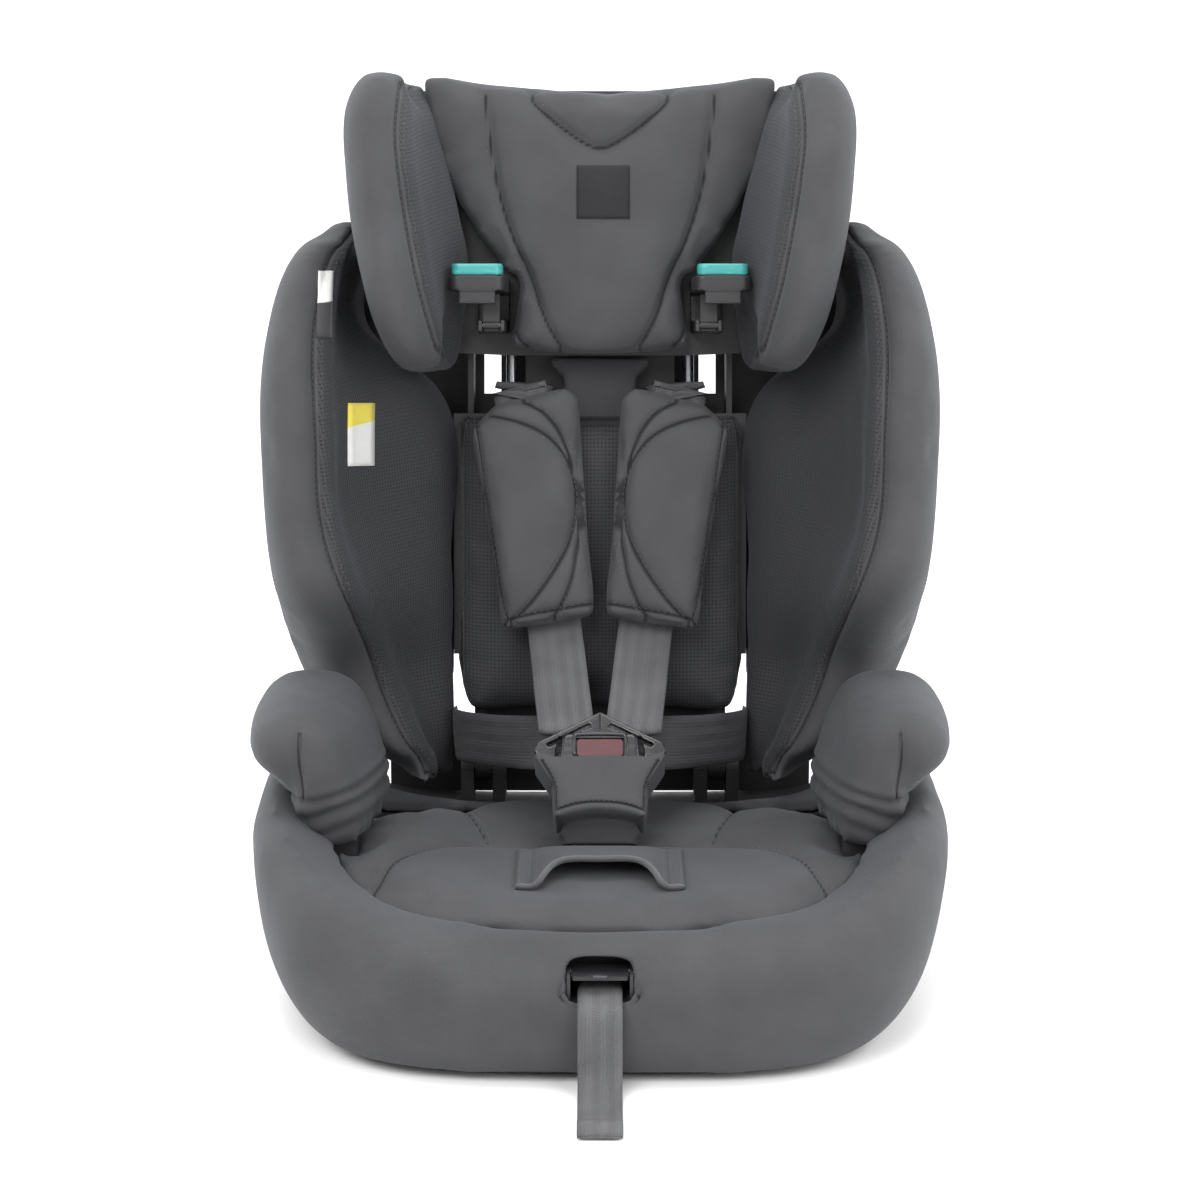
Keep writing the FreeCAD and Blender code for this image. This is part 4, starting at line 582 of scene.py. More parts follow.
# ==================================================================== mesh tools
def add_object(name: str, mesh: bpy.types.Mesh, *materials: bpy.types.Material) -> bpy.types.Object:
    """Puts a mesh into the scene as an object at the origin.

    Args:
        name: the object's name.
        mesh: its mesh, with its place in its vertices.
        *materials: its materials, if the mesh has none yet.

    Returns:
        The object.
    """
    obj = bpy.data.objects.new(name, mesh)
    bpy.context.scene.collection.objects.link(obj)
    for material in materials:
        mesh.materials.append(material)
    return obj


def from_bmesh(name: str, bm: bmesh.types.BMesh, *materials: bpy.types.Material) -> bpy.types.Object:
    """Turns a bmesh into a smooth-shaded object.

    Args:
        name: the object's name.
        bm: the shape, which is freed.
        *materials: its materials.

    Returns:
        The object.
    """
    bmesh.ops.recalc_face_normals(bm, faces=bm.faces)
    for face in bm.faces:
        face.smooth = True
    mesh = bpy.data.meshes.new(name)
    bm.to_mesh(mesh)
    bm.free()
    return add_object(name, mesh, *materials)


def freeze(obj: bpy.types.Object) -> None:
    """Applies all of an object's modifiers."""
    graph = bpy.context.evaluated_depsgraph_get()
    graph.update()
    mesh = bpy.data.meshes.new_from_object(obj.evaluated_get(graph))
    obj.modifiers.clear()
    obj.data = mesh


def positions(mesh: bpy.types.Mesh) -> np.ndarray:
    """Reads a mesh's vertex places as rows."""
    flat = np.empty(len(mesh.vertices) * 3, np.float32)
    mesh.vertices.foreach_get("co", flat)
    return flat.reshape(-1, 3).astype(float)


def place_vertices(mesh: bpy.types.Mesh, co: np.ndarray) -> None:
    """Writes a mesh's vertex places."""
    mesh.vertices.foreach_set("co", co.astype(np.float32).ravel())
    mesh.update()


def set_float(mesh: bpy.types.Mesh, name: str, values: np.ndarray) -> None:
    """Stores one number per vertex under a name."""
    attribute = mesh.attributes.get(name) or mesh.attributes.new(name, "FLOAT", "POINT")
    attribute.data.foreach_set("value", values.astype(np.float32))


def mirrored_copy(obj: bpy.types.Object, name: str, *materials: bpy.types.Material) -> bpy.types.Object:
    """Copies an object to the other side of the seat.

    Args:
        obj: the object on the right.
        name: the copy's name.
        *materials: materials instead of the original's, if the sides differ.

    Returns:
        The copy on the left.
    """
    bm = bmesh.new()
    bm.from_mesh(obj.data)
    bmesh.ops.scale(bm, vec=(-1, 1, 1), verts=bm.verts)
    bmesh.ops.reverse_faces(bm, faces=bm.faces)
    mesh = bpy.data.meshes.new(name)
    bm.to_mesh(mesh)
    bm.free()
    for material in materials or list(obj.data.materials):
        mesh.materials.append(material)
    return add_object(name, mesh)


def loft(name: str, rings: list[np.ndarray], material: bpy.types.Material, closed: bool = True,
         caps: bool = True, values: dict[str, np.ndarray] | None = None) -> bpy.types.Object:
    """Sweeps a ring of points through its later places.

    Args:
        name: the object's name.
        rings: the ring's points at each station.
        material: the finish.
        closed: whether the ring is a loop.
        caps: whether the two ends are closed.
        values: numbers per station and ring point to store on the vertices, by name.

    Returns:
        The object.
    """
    bm = bmesh.new()
    count = len(rings[0])
    index = bm.verts.layers.int.new("index")
    row = [bm.verts.new(p) for p in rings[0]]
    for i, vert in enumerate(row):
        vert[index] = i
    spans = count if closed else count - 1
    edges = [bm.edges.new((row[i], row[(i + 1) % count])) for i in range(spans)]
    if caps and closed:
        bm.faces.new(row)
    for station, ring in enumerate(rings[1:], 1):
        grown = bmesh.ops.extrude_edge_only(bm, edges=edges)["geom"]
        edges = [g for g in grown if isinstance(g, bmesh.types.BMEdge)]
        moved = [g for g in grown if isinstance(g, bmesh.types.BMVert)]
        for vert in moved:
            place = vert[index] % count
            vert.co = ring[place]
            vert[index] = station * count + place
    if caps and closed:
        bmesh.ops.holes_fill(bm, edges=edges, sides=0)
    bm.verts.ensure_lookup_table()
    order = np.array([vert[index] for vert in bm.verts])
    bm.verts.layers.int.remove(index)
    obj = from_bmesh(name, bm, material)
    for label, numbers in (values or {}).items():
        set_float(obj.data, label, numbers.reshape(-1)[order])
    return obj


def path_frames(path: np.ndarray, outward: np.ndarray) -> tuple[np.ndarray, np.ndarray, np.ndarray]:
    """Finds the directions along, across and out of a path's samples.

    Args:
        path: the samples.
        outward: roughly outward directions, one per sample or one for all.

    Returns:
        Unit directions along, across and outward at each sample.
    """
    along = np.gradient(path, axis=0)
    along /= np.linalg.norm(along, axis=1, keepdims=True)
    outward = np.broadcast_to(outward, path.shape)
    out = outward - along * np.sum(outward * along, axis=1, keepdims=True)
    out /= np.linalg.norm(out, axis=1, keepdims=True)
    return along, np.cross(out, along), out


def tube(name: str, path: np.ndarray, radius: float, material: bpy.types.Material, outward=(0, -1, 0),
         flat: float = 1.0, sides: int = 8) -> bpy.types.Object:
    """Makes a round or flattened cord along a path.

    Args:
        name: the object's name.
        path: the samples, in the seat's frame.
        radius: half of its width.
        material: the finish.
        outward: the direction in which flat shrinks it.
        flat: its thickness as a share of its width.
        sides: how many corners its section has.

    Returns:
        The object.
    """
    _, across, out = path_frames(path, np.asarray(outward, float))
    turn = np.linspace(0, 2 * math.pi, sides, endpoint=False)
    rings = []
    for i, centre in enumerate(path):
        share = 0.45 if i in (0, len(path) - 1) else 1.0
        rings.append(np.array([centre + share * radius * (math.cos(t) * across[i] + flat * math.sin(t) * out[i])
                               for t in turn]))
    return loft(name, rings, material)


def join(name: str, objects: list[bpy.types.Object]) -> bpy.types.Object:
    """Joins meshes that move together into one object.

    Args:
        name: the joined object's name.
        objects: the meshes.

    Returns:
        The joined object.
    """
    bm = bmesh.new()
    materials = []
    for obj in objects:
        first = len(bm.faces)
        bm.from_mesh(obj.data)
        bm.faces.ensure_lookup_table()
        slots = []
        for material in obj.data.materials:
            if material not in materials:
                materials.append(material)
            slots.append(materials.index(material))
        for face in bm.faces[first:]:
            face.material_index = slots[min(face.material_index, len(slots) - 1)]
        old = obj.data
        bpy.data.objects.remove(obj)
        bpy.data.meshes.remove(old)
    mesh = bpy.data.meshes.new(name)
    bm.to_mesh(mesh)
    bm.free()
    return add_object(name, mesh, *materials)


def packed_copy(name: str, nodes: tuple[str, ...], shrink: float = 0.0) -> bpy.types.Object:
    """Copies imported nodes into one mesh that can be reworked.

    Args:
        name: the copy's name.
        nodes: the nodes to copy.
        shrink: how far to draw the surface in.

    Returns:
        The copy.
    """
    bm = bmesh.new()
    for node in nodes:
        bm.from_mesh(frame["nodes"][node].data)
    bmesh.ops.remove_doubles(bm, verts=bm.verts, dist=2e-5)
    bm.normal_update()
    for vert in bm.verts:
        vert.co -= vert.normal * shrink
    mesh = bpy.data.meshes.new(name)
    bm.to_mesh(mesh)
    bm.free()
    return add_object(name, mesh)


def remesh(obj: bpy.types.Object, voxel: float, rounds: int = 0, refine: int = 0) -> None:
    """Gives an object an even mesh of quads, smooths it and refines it.

    Args:
        obj: the object.
        voxel: the size of the quads.
        rounds: how many rounds of smoothing it gets.
        refine: how many times each quad is then split in four.
    """
    even = obj.modifiers.new("even", "REMESH")
    even.mode = "VOXEL"
    even.voxel_size = voxel
    if rounds:
        smooth = obj.modifiers.new("smooth", "SMOOTH")
        smooth.factor = 0.5
        smooth.iterations = rounds
    if refine:
        fine = obj.modifiers.new("fine", "SUBSURF")
        fine.levels = refine
        fine.render_levels = refine
    freeze(obj)
    obj.data.shade_smooth()


@dataclass(frozen=True)
class Stuffing:
    """How a cover is filled.

    Attributes:
        voxel: the size of the mesh it is simulated with.
        shrink: how far it is drawn in before it is filled.
        pressure: the filling's pressure.
        most: the furthest that any point may swell.
        rounds: rounds of smoothing afterwards.
        refine: how often the finished mesh is refined.
    """

    voxel: float = 0.0045
    shrink: float = 0.0015
    pressure: float = 4.0
    most: float = 0.008
    rounds: int = 3
    refine: int = 1


def stuff(name: str, nodes: tuple[str, ...], how: Stuffing) -> bpy.types.Object:
    """Makes a stuffed cover out of packed pads.

    Args:
        name: the cover's name.
        nodes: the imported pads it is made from.
        how: how it is filled.

    Returns:
        The stuffed cover.
    """
    obj = packed_copy(name, nodes, how.shrink)
    remesh(obj, how.voxel)
    before = positions(obj.data)
    cloth = obj.modifiers.new("filling", "CLOTH")
    settings = cloth.settings
    settings.quality = 4
    settings.mass = 0.2
    settings.tension_stiffness = 12.0
    settings.compression_stiffness = 12.0
    settings.shear_stiffness = 6.0
    settings.bending_stiffness = 0.4
    settings.air_damping = 3.0
    settings.use_pressure = True
    settings.uniform_pressure_force = how.pressure
    settings.effector_weights.gravity = 0.0
    cloth.point_cache.frame_start = 1
    cloth.point_cache.frame_end = 20
    for step in range(1, 21):
        bpy.context.scene.frame_set(step)
    freeze(obj)
    bpy.context.scene.frame_set(1)
    grown = positions(obj.data) - before
    size = np.linalg.norm(grown, axis=1, keepdims=True)
    grown *= how.most * np.tanh(size / how.most) / np.maximum(size, 1e-9)
    place_vertices(obj.data, before + grown)
    LOG.info("%s swells by up to %.1f mm", name, size.max() * 1000)
    if how.rounds:
        smooth = obj.modifiers.new("smooth", "SMOOTH")
        smooth.factor = 0.5
        smooth.iterations = how.rounds
    if how.refine:
        fine = obj.modifiers.new("fine", "SUBSURF")
        fine.levels = how.refine
        fine.render_levels = how.refine
    freeze(obj)
    obj.data.shade_smooth()
    return obj


@dataclass(frozen=True)
class Stitch:
    """The size of one stitch and the gap to the next."""

    length: float = 0.0026
    pitch: float = 0.0041
    width: float = 0.0006


class Cover:
    """A padded cover that seams, panels, stitches and welts are drawn on.

    The seams are flat paths in millimetres in the cover's own frame, seen along its facing direction.
    """

    def __init__(self, obj: bpy.types.Object, axes: Axes = SEAT, plane: tuple[int, int] = (0, 2),
                 facing: tuple[float, float, float] = (0.0, -1.0, 0.0)) -> None:
        """Reads the cover's surface.

        Args:
            obj: the cover.
            axes: the frame in which its seams are given.
            plane: the two axes of that frame that the seams lie in.
            facing: the direction, in that frame, from which they are seen.
        """
        self.obj = obj
        self.axes = axes
        self.plane = list(plane)
        self.facing = np.array(facing, float)
        self.co = axes.to_local(positions(obj.data))
        flat = np.empty(len(self.co) * 3, np.float32)
        obj.data.vertex_normals.foreach_get("vector", flat)
        self.normals = flat.reshape(-1, 3).astype(float) @ np.array(axes.rows).T
        self.toward = np.clip((self.normals @ self.facing + 0.05) / 0.35, 0, 1)
        self.seam = np.full(len(self.co), 0.05)
        self.panel = np.full(len(self.co), -0.05)
        self.extras: list[bpy.types.Object] = []
        self.tree: BVHTree | None = None

    def flat_points(self) -> np.ndarray:
        """The cover's vertices in the seams' plane."""
        return self.co[:, self.plane]

    def push(self, amounts: np.ndarray) -> None:
        """Moves each vertex along its normal by an amount."""
        self.co += self.normals * (amounts * self.toward)[:, None]

    def crease(self, points: list[tuple[float, float]], depth: float = 0.0028, width: float = 0.0032,
               dip: float = 0.0016, dip_width: float = 0.013) -> np.ndarray:
        """Sinks a seam into the cover: a sharp crease in a wide soft dip.

        Args:
            points: the seam's points in millimetres.
            depth: how deep the crease is.
            width: half the crease's width.
            dip: how deep the soft dip is.
            dip_width: half the dip's width.

        Returns:
            The seam's samples in the seams' plane, in metres.
        """
        path = smooth_path(mm(*points), 0.003)
        far, _ = distance_to_path(self.flat_points(), path)
        self.push(-depth * np.exp(-(far / width) ** 2) - dip * np.exp(-(far / dip_width) ** 2))
        # the distance to the nearest seam is kept as the seam attribute, from which the sewn materials paint shade into
        # the crease
        self.seam = np.where(self.toward > 0.02, np.minimum(self.seam, far), self.seam)
        return path

    def split(self, points: list[tuple[float, float]], side: float) -> None:
        """Gives the mesh panel to the ground on one side of a seam.

        Args:
            points: the seam's points in millimetres.
            side: +1 for the ground on the left of the path's direction, -1 for the right.
        """
        _, signed = distance_to_path(self.flat_points(), smooth_path(mm(*points), 0.003))
        self.panel = signed * side

    def limit(self, points: list[tuple[float, float]], side: float) -> None:
        """Keeps the mesh panel only on one side of a further seam."""
        _, signed = distance_to_path(self.flat_points(), smooth_path(mm(*points), 0.003))
        self.panel = np.minimum(self.panel, signed * side)

    def ripple(self, amount: float, size: float, seed: float = 0.0, stretch: tuple = (1, 1, 1)) -> None:
        """Adds the slight unevenness of stuffed cloth.

        Args:
            amount: its height.
            size: the width of its waves.
            seed: shifts it, so that pieces differ.
            stretch: how much faster it varies along each axis.
        """
        waves = np.zeros(len(self.co))
        rng = np.random.default_rng(int(7 + seed * 13))
        for octave in range(9):
            direction = rng.normal(size=3) * np.array(stretch)
            direction *= (2 * math.pi / size) * (0.6 + 0.18 * octave) / np.linalg.norm(direction)
            waves += np.sin(self.co @ direction + rng.uniform(0, 6.28)) / (1.5 + 0.4 * octave)
        self.co += self.normals * (waves * amount / 2.5)[:, None]

    def settle(self) -> None:
        """Writes the shape and its attributes back to the object."""
        place_vertices(self.obj.data, self.axes.to_row(self.co))
        set_float(self.obj.data, "seam", self.seam)
        set_float(self.obj.data, "panel", self.panel)
        self.index()

    def index(self) -> None:
        """Indexes the surface, so that paths can be dropped onto it."""
        bm = bmesh.new()
        bm.from_mesh(self.obj.data)
        self.tree = BVHTree.FromBMesh(bm)
        bm.free()

    def on_surface(self, path: np.ndarray, lift: float = 0.0) -> tuple[np.ndarray, np.ndarray]:
        """Drops a flat path onto the cover along its facing direction.

        Args:
            path: samples in the seams' plane, in metres.
            lift: how far above the surface the result lies.

        Returns:
            The places and the surface normals in the seat's frame; samples that miss are left out.
        """
        places, normals = [], []
        outward = self.axes.direction(tuple(self.facing))
        for sample in path:
            start = np.zeros(3)
            start[self.plane] = sample
            start += self.facing * 0.6
            hit, normal, _, _ = self.tree.ray_cast(Vector(self.axes.to_row(start)), -outward)
            if hit is not None and normal.dot(outward) > 0.05:
                places.append(hit + normal * lift)
                normals.append(normal)
        return np.array(places).reshape(-1, 3), np.array(normals).reshape(-1, 3)

    def stitches(self, path: np.ndarray, shift: float, material: bpy.types.Material,
                 size: Stitch = Stitch()) -> None:
        """Sews a row of stitches beside a seam.

        Args:
            path: the seam's samples in the seams' plane.
            shift: how far beside the seam the row runs, to its left when positive.
            material: the thread's finish.
            size: the stitch's size.
        """
        run = np.gradient(path, axis=0)
        run /= np.linalg.norm(run, axis=1, keepdims=True)
        beside = path + np.stack([-run[:, 1], run[:, 0]], axis=1) * shift
        sampled = smooth_path([tuple(p) for p in beside[:: 3]] + [tuple(beside[-1])], size.pitch)
        places, normals = self.on_surface(sampled, size.width * 0.10)
        if len(places) < 3:
            return
        along, across, out = path_frames(places, normals)
        bm = bmesh.new()
        for i in range(1, len(places) - 1):
            if np.linalg.norm(places[i + 1] - places[i - 1]) > 6 * size.pitch:
                continue
            turn = Matrix((across[i], along[i], out[i])).transposed().to_4x4()
            turn.translation = Vector(places[i])
            scale = Matrix.Diagonal((size.width, size.length, size.width * 0.8, 1.0))
            bmesh.ops.create_uvsphere(bm, u_segments=5, v_segments=4, radius=0.5, matrix=turn @ scale)
        self.extras.append(from_bmesh(f"{self.obj.name}_stitches_{len(self.extras)}", bm, material))

    def welt(self, path: np.ndarray, radius: float, material: bpy.types.Material, flat: float = 0.8,
             sink: float = 0.4) -> None:
        """Lays a piping cord on the cover along a path.

        Args:
            path: samples in the seams' plane.
            radius: the cord's radius.
            material: its finish.
            flat: its thickness as a share of its width.
            sink: how deep it is set in, as a share of its radius.
        """
        places, normals = self.on_surface(path, radius * (flat - sink))
        if len(places) < 4:
            return
        self.extras.append(tube(f"{self.obj.name}_welt_{len(self.extras)}", places, radius, material,
                                normals, flat))

    def tag(self, name: str, centre: tuple, size: tuple, material: bpy.types.Material, body: str,
            lift: float = 0.0007) -> None:
        """Sews a blank label or patch to the cover.

        Args:
            name: the label's name.
            centre: its middle in the cover's plane, in millimetres.
            size: its width and height in millimetres.
            material: its finish.
            body: the body it moves with.
            lift: how far above the cover it lies.
        """
        columns = max(6, int(size[0] / 2.5))
        rows = []
        for v in np.linspace(-0.5, 0.5, max(9, int(size[1] / 2.5))):
            flat = np.array(mm(*((centre[0] + size[0] * u, centre[1] + size[1] * v)
                                 for u in np.linspace(-0.5, 0.5, columns))))
            places, _ = self.on_surface(flat, lift)
            if len(places) == columns:
                rows.append(places)
        if len(rows) < 3:
            LOG.warning("%s misses its cover", name)
            return
        label = loft(name, rows, material, closed=False, caps=False)
        bm = bmesh.new()
        bm.from_mesh(label.data)
        bmesh.ops.solidify(bm, geom=bm.faces[:], thickness=-0.0006)
        bm.to_mesh(label.data)
        bm.free()
        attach(label, body)

    def finish(self, body: str, slot: str, nodes: tuple[str, ...], material: bpy.types.Material,
               fill: float | None = 0.7) -> list[bpy.types.Object]:
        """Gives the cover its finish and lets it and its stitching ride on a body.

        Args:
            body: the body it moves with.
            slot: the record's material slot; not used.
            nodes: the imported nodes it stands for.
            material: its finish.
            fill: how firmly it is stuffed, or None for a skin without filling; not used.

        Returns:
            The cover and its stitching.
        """
        self.obj.data.materials.clear()
        self.obj.data.materials.append(material)
        pieces = [self.obj]
        if self.extras:
            pieces.append(join(f"{self.obj.name}_sewing", self.extras))
            self.extras = []
        for piece in pieces:
            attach(piece, body)
        if nodes:
            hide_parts(*nodes)
        return pieces


def other_side(pieces: list[bpy.types.Object], body: str, nodes: tuple[str, ...],
               material: bpy.types.Material | None = None) -> list[bpy.types.Object]:
    """Makes the left side's pieces from the right side's finished ones.

    Args:
        pieces: the right side's cover and its sewing.
        body: the body they move with.
        nodes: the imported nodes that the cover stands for.
        material: the cover's finish, if it differs from the right side's.

    Returns:
        The left side's pieces.
    """
    made = []
    for i, piece in enumerate(pieces):
        finish = (material,) if material is not None and i == 0 else ()
        copy = mirrored_copy(piece, piece.name.replace("right", "left"), *finish)
        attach(copy, body)
        made.append(copy)
    if nodes:
        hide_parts(*nodes)
    return made


# ==================================================================== straps
@dataclass(frozen=True)
class Strap:
    """A strap's section: its width and thickness in metres, and how much it cups across."""

    width: float
    thick: float = 0.0016
    cup: float = 0.0004

    def ring(self, centre: np.ndarray, across: np.ndarray, out: np.ndarray) -> np.ndarray:
        """The section's points at one station.

        Args:
            centre: the station's place.
            across: the direction over the strap.
            out: the direction out of its face.

        Returns:
            The points, once round the section.
        """
        spread = np.linspace(-1, 1, 13)
        half, edge = self.width / 2, self.thick / 2
        bow = self.cup * (1 - spread ** 2)
        rim = edge * np.sqrt(np.clip(1 - np.clip((np.abs(spread) * half - half + edge) / edge, 0, 1) ** 2, 0.05, 1))
        face = [centre + across * (half * u) + out * (b + r) for u, b, r in zip(spread, bow, rim)]
        back = [centre + across * (half * u) + out * (b - r) for u, b, r in zip(spread, bow, rim)]
        return np.array(face + back[::-1])

    def lay(self, name: str, route: list[tuple[float, ...]], outward: list[tuple[float, ...]],
            material: bpy.types.Material, step: float = 0.004) -> bpy.types.Object:
        """Lays the strap along a route.

        Args:
            name: the object's name.
            route: the points that it passes through.
            outward: the direction out of its face at each of those points.
            material: its finish.
            step: the distance between stations.

        Returns:
            The strap.
        """
        both = smooth_path([tuple(p) + tuple(n) for p, n in zip(np.asarray(route), np.asarray(outward) * 0.02)], step)
        path, out = both[:, :3], both[:, 3:]
        _, across, out = path_frames(path, out)
        rings = [self.ring(*row) for row in zip(path, across, out)]
        spread = np.linspace(-1, 1, 13) * self.width / 2
        over = np.tile(np.concatenate([spread, spread[::-1]]), (len(path), 1))
        gone = np.concatenate([[0], np.cumsum(np.linalg.norm(np.diff(path, axis=0), axis=1))])
        down = np.tile(gone[:, None], (1, over.shape[1]))
        return loft(name, rings, material, values={"across": over, "along": down})


# ==================================================================== the studio
@dataclass
class Studio:
    """The floor, its backdrop, the lights and the camera."""

    camera_at: tuple[float, float, float] = (0.0, -2.1519, 0.7574)
    aim: tuple[float, float, float] = (0.0, 0.0, 0.3)
    lens: float = 101.2
    shift: float = -0.064

    def build_camera(self) -> None:
        """Sets up the scene's camera."""
        data = bpy.data.cameras.new("camera")
        data.lens = self.lens
        data.sensor_width = 36.0
        data.shift_y = self.shift
        camera = bpy.data.objects.new("camera", data)
        camera.location = self.camera_at
        camera.rotation_euler = (Vector(self.aim) - Vector(self.camera_at)).to_track_quat("-Z", "Y").to_euler()
        bpy.context.scene.collection.objects.link(camera)
        bpy.context.scene.camera = camera

    def build_floor(self, palette: Palette) -> None:
        """Builds the floor, which sweeps up into a backdrop behind the seat."""
        run = [(y, 0.0) for y in np.linspace(-4.0, 1.6, 12)]
        run += [(1.6 + 1.2 * math.sin(a), 1.2 - 1.2 * math.cos(a)) for a in np.linspace(0.1, math.pi / 2, 14)]
        run += [(2.8, z) for z in np.linspace(1.6, 4.0, 6)]
        rings = [np.array([(x, y, z - 0.0008) for x in np.linspace(-5, 5, 9)]) for y, z in run]
        floor = loft("studio_floor", rings, palette.floor, closed=False, caps=False)

    def build_lights(self) -> None:
        """Hangs the soft lights and lights the room."""
        self.area("key", (-0.9, -2.2, 2.3), (0.0, 0.0, 0.30), 1.7, 62.0)
        self.area("fill", (1.6, -1.9, 1.5), (0.0, 0.0, 0.25), 1.6, 34.0)
        self.area("top", (0.0, 0.1, 2.6), (0.0, 0.1, 0.3), 1.8, 40.0)
        self.area("rim_left", (-2.0, 0.5, 1.2), (0.0, 0.1, 0.35), 1.2, 26.0)
        self.area("rim_right", (2.0, 0.5, 1.2), (0.0, 0.1, 0.35), 1.2, 26.0)
        world = bpy.data.worlds.new("studio")
        world.use_nodes = True
        ground = world.node_tree.nodes["Background"]
        ground.inputs["Color"].default_value = (1.0, 1.0, 1.0, 1.0)
        ground.inputs["Strength"].default_value = 0.75
        bpy.context.scene.world = world
        bpy.context.scene.view_settings.view_transform = "Standard"

    def area(self, name: str, at: tuple, aim: tuple, size: float, watts: float) -> None:
        """Hangs one square soft light.

        Args:
            name: the light's name.
            at: where it hangs.
            aim: where it points.
            size: the length of its side.
            watts: its power.
        """
        data = bpy.data.lights.new(name, "AREA")
        data.size = size
        data.energy = watts
        light = bpy.data.objects.new(name, data)
        light.location = at
        light.rotation_euler = (Vector(aim) - Vector(at)).to_track_quat("-Z", "Y").to_euler()
        bpy.context.scene.collection.objects.link(light)


# ==================================================================== the free strap of the adjuster
@dataclass
class AdjusterTail:
    """The harness adjuster's free strap: out of its slot, down the front and onto the floor."""

    route: tuple = ((-185.0, 57.4), (-212.0, 57.6), (-239.5, 56.0), (-242.0, 33.0), (-241.5, 13.0),
                    (-253.0, 1.6), (-279.0, 2.6), (-311.0, 1.3))
    section: Strap = Strap(0.027, 0.0016, 0.0002)
    exit_y: float = -212.0

    def build(self, palette: Palette) -> None:
        """Builds the route and lays the strap on it with its sewn end.

        Args:
            palette: the finishes.
        """
        points = mm(*((0.0, y, z) for y, z in self.route))
        data = bpy.data.curves.new("adjuster_route", "CURVE")
        data.dimensions = "3D"
        spline = data.splines.new("NURBS")
        spline.points.add(len(points) - 1)
        for knot, place in zip(spline.points, points):
            knot.co = (*place, 1.0)
        spline.order_u = 3
        spline.use_endpoint_u = True
        data.resolution_u = 16
        route = bpy.data.objects.new("adjuster_route", data)
        bpy.context.scene.collection.objects.link(route)
        graph = bpy.context.evaluated_depsgraph_get()
        graph.update()
        traced = bpy.data.meshes.new_from_object(route.evaluated_get(graph))
        samples = positions(traced)
        bpy.data.meshes.remove(traced)
        bpy.data.objects.remove(route)
        self.lay(samples, palette)

    def lay(self, samples: np.ndarray, palette: Palette) -> None:
        """Lays the strap and its far end along the traced route."""
        path = smooth_path([tuple(p) for p in samples[::4]] + [tuple(samples[-1])], 0.003)
        along, _, _ = path_frames(path, np.array([0.0, 0.1, 1.0]))
        out = np.cross(np.array([1.0, 0.0, 0.0]), along)
        strap = self.section.lay("adjuster_tail", [tuple(p) for p in path], [tuple(-n) for n in out],
                                 palette.webbing, 0.003)
        hem_at = path[-8:] - out[-8:] * 0.0016
        hem = Strap(0.0272, 0.0014, 0.0001).lay("adjuster_hem", [tuple(p) for p in hem_at],
                                                [tuple(-n) for n in out[-8:]], palette.webbing, 0.003)
        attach(strap, "base")
        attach(hem, "base")
        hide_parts("adjuster_strap")


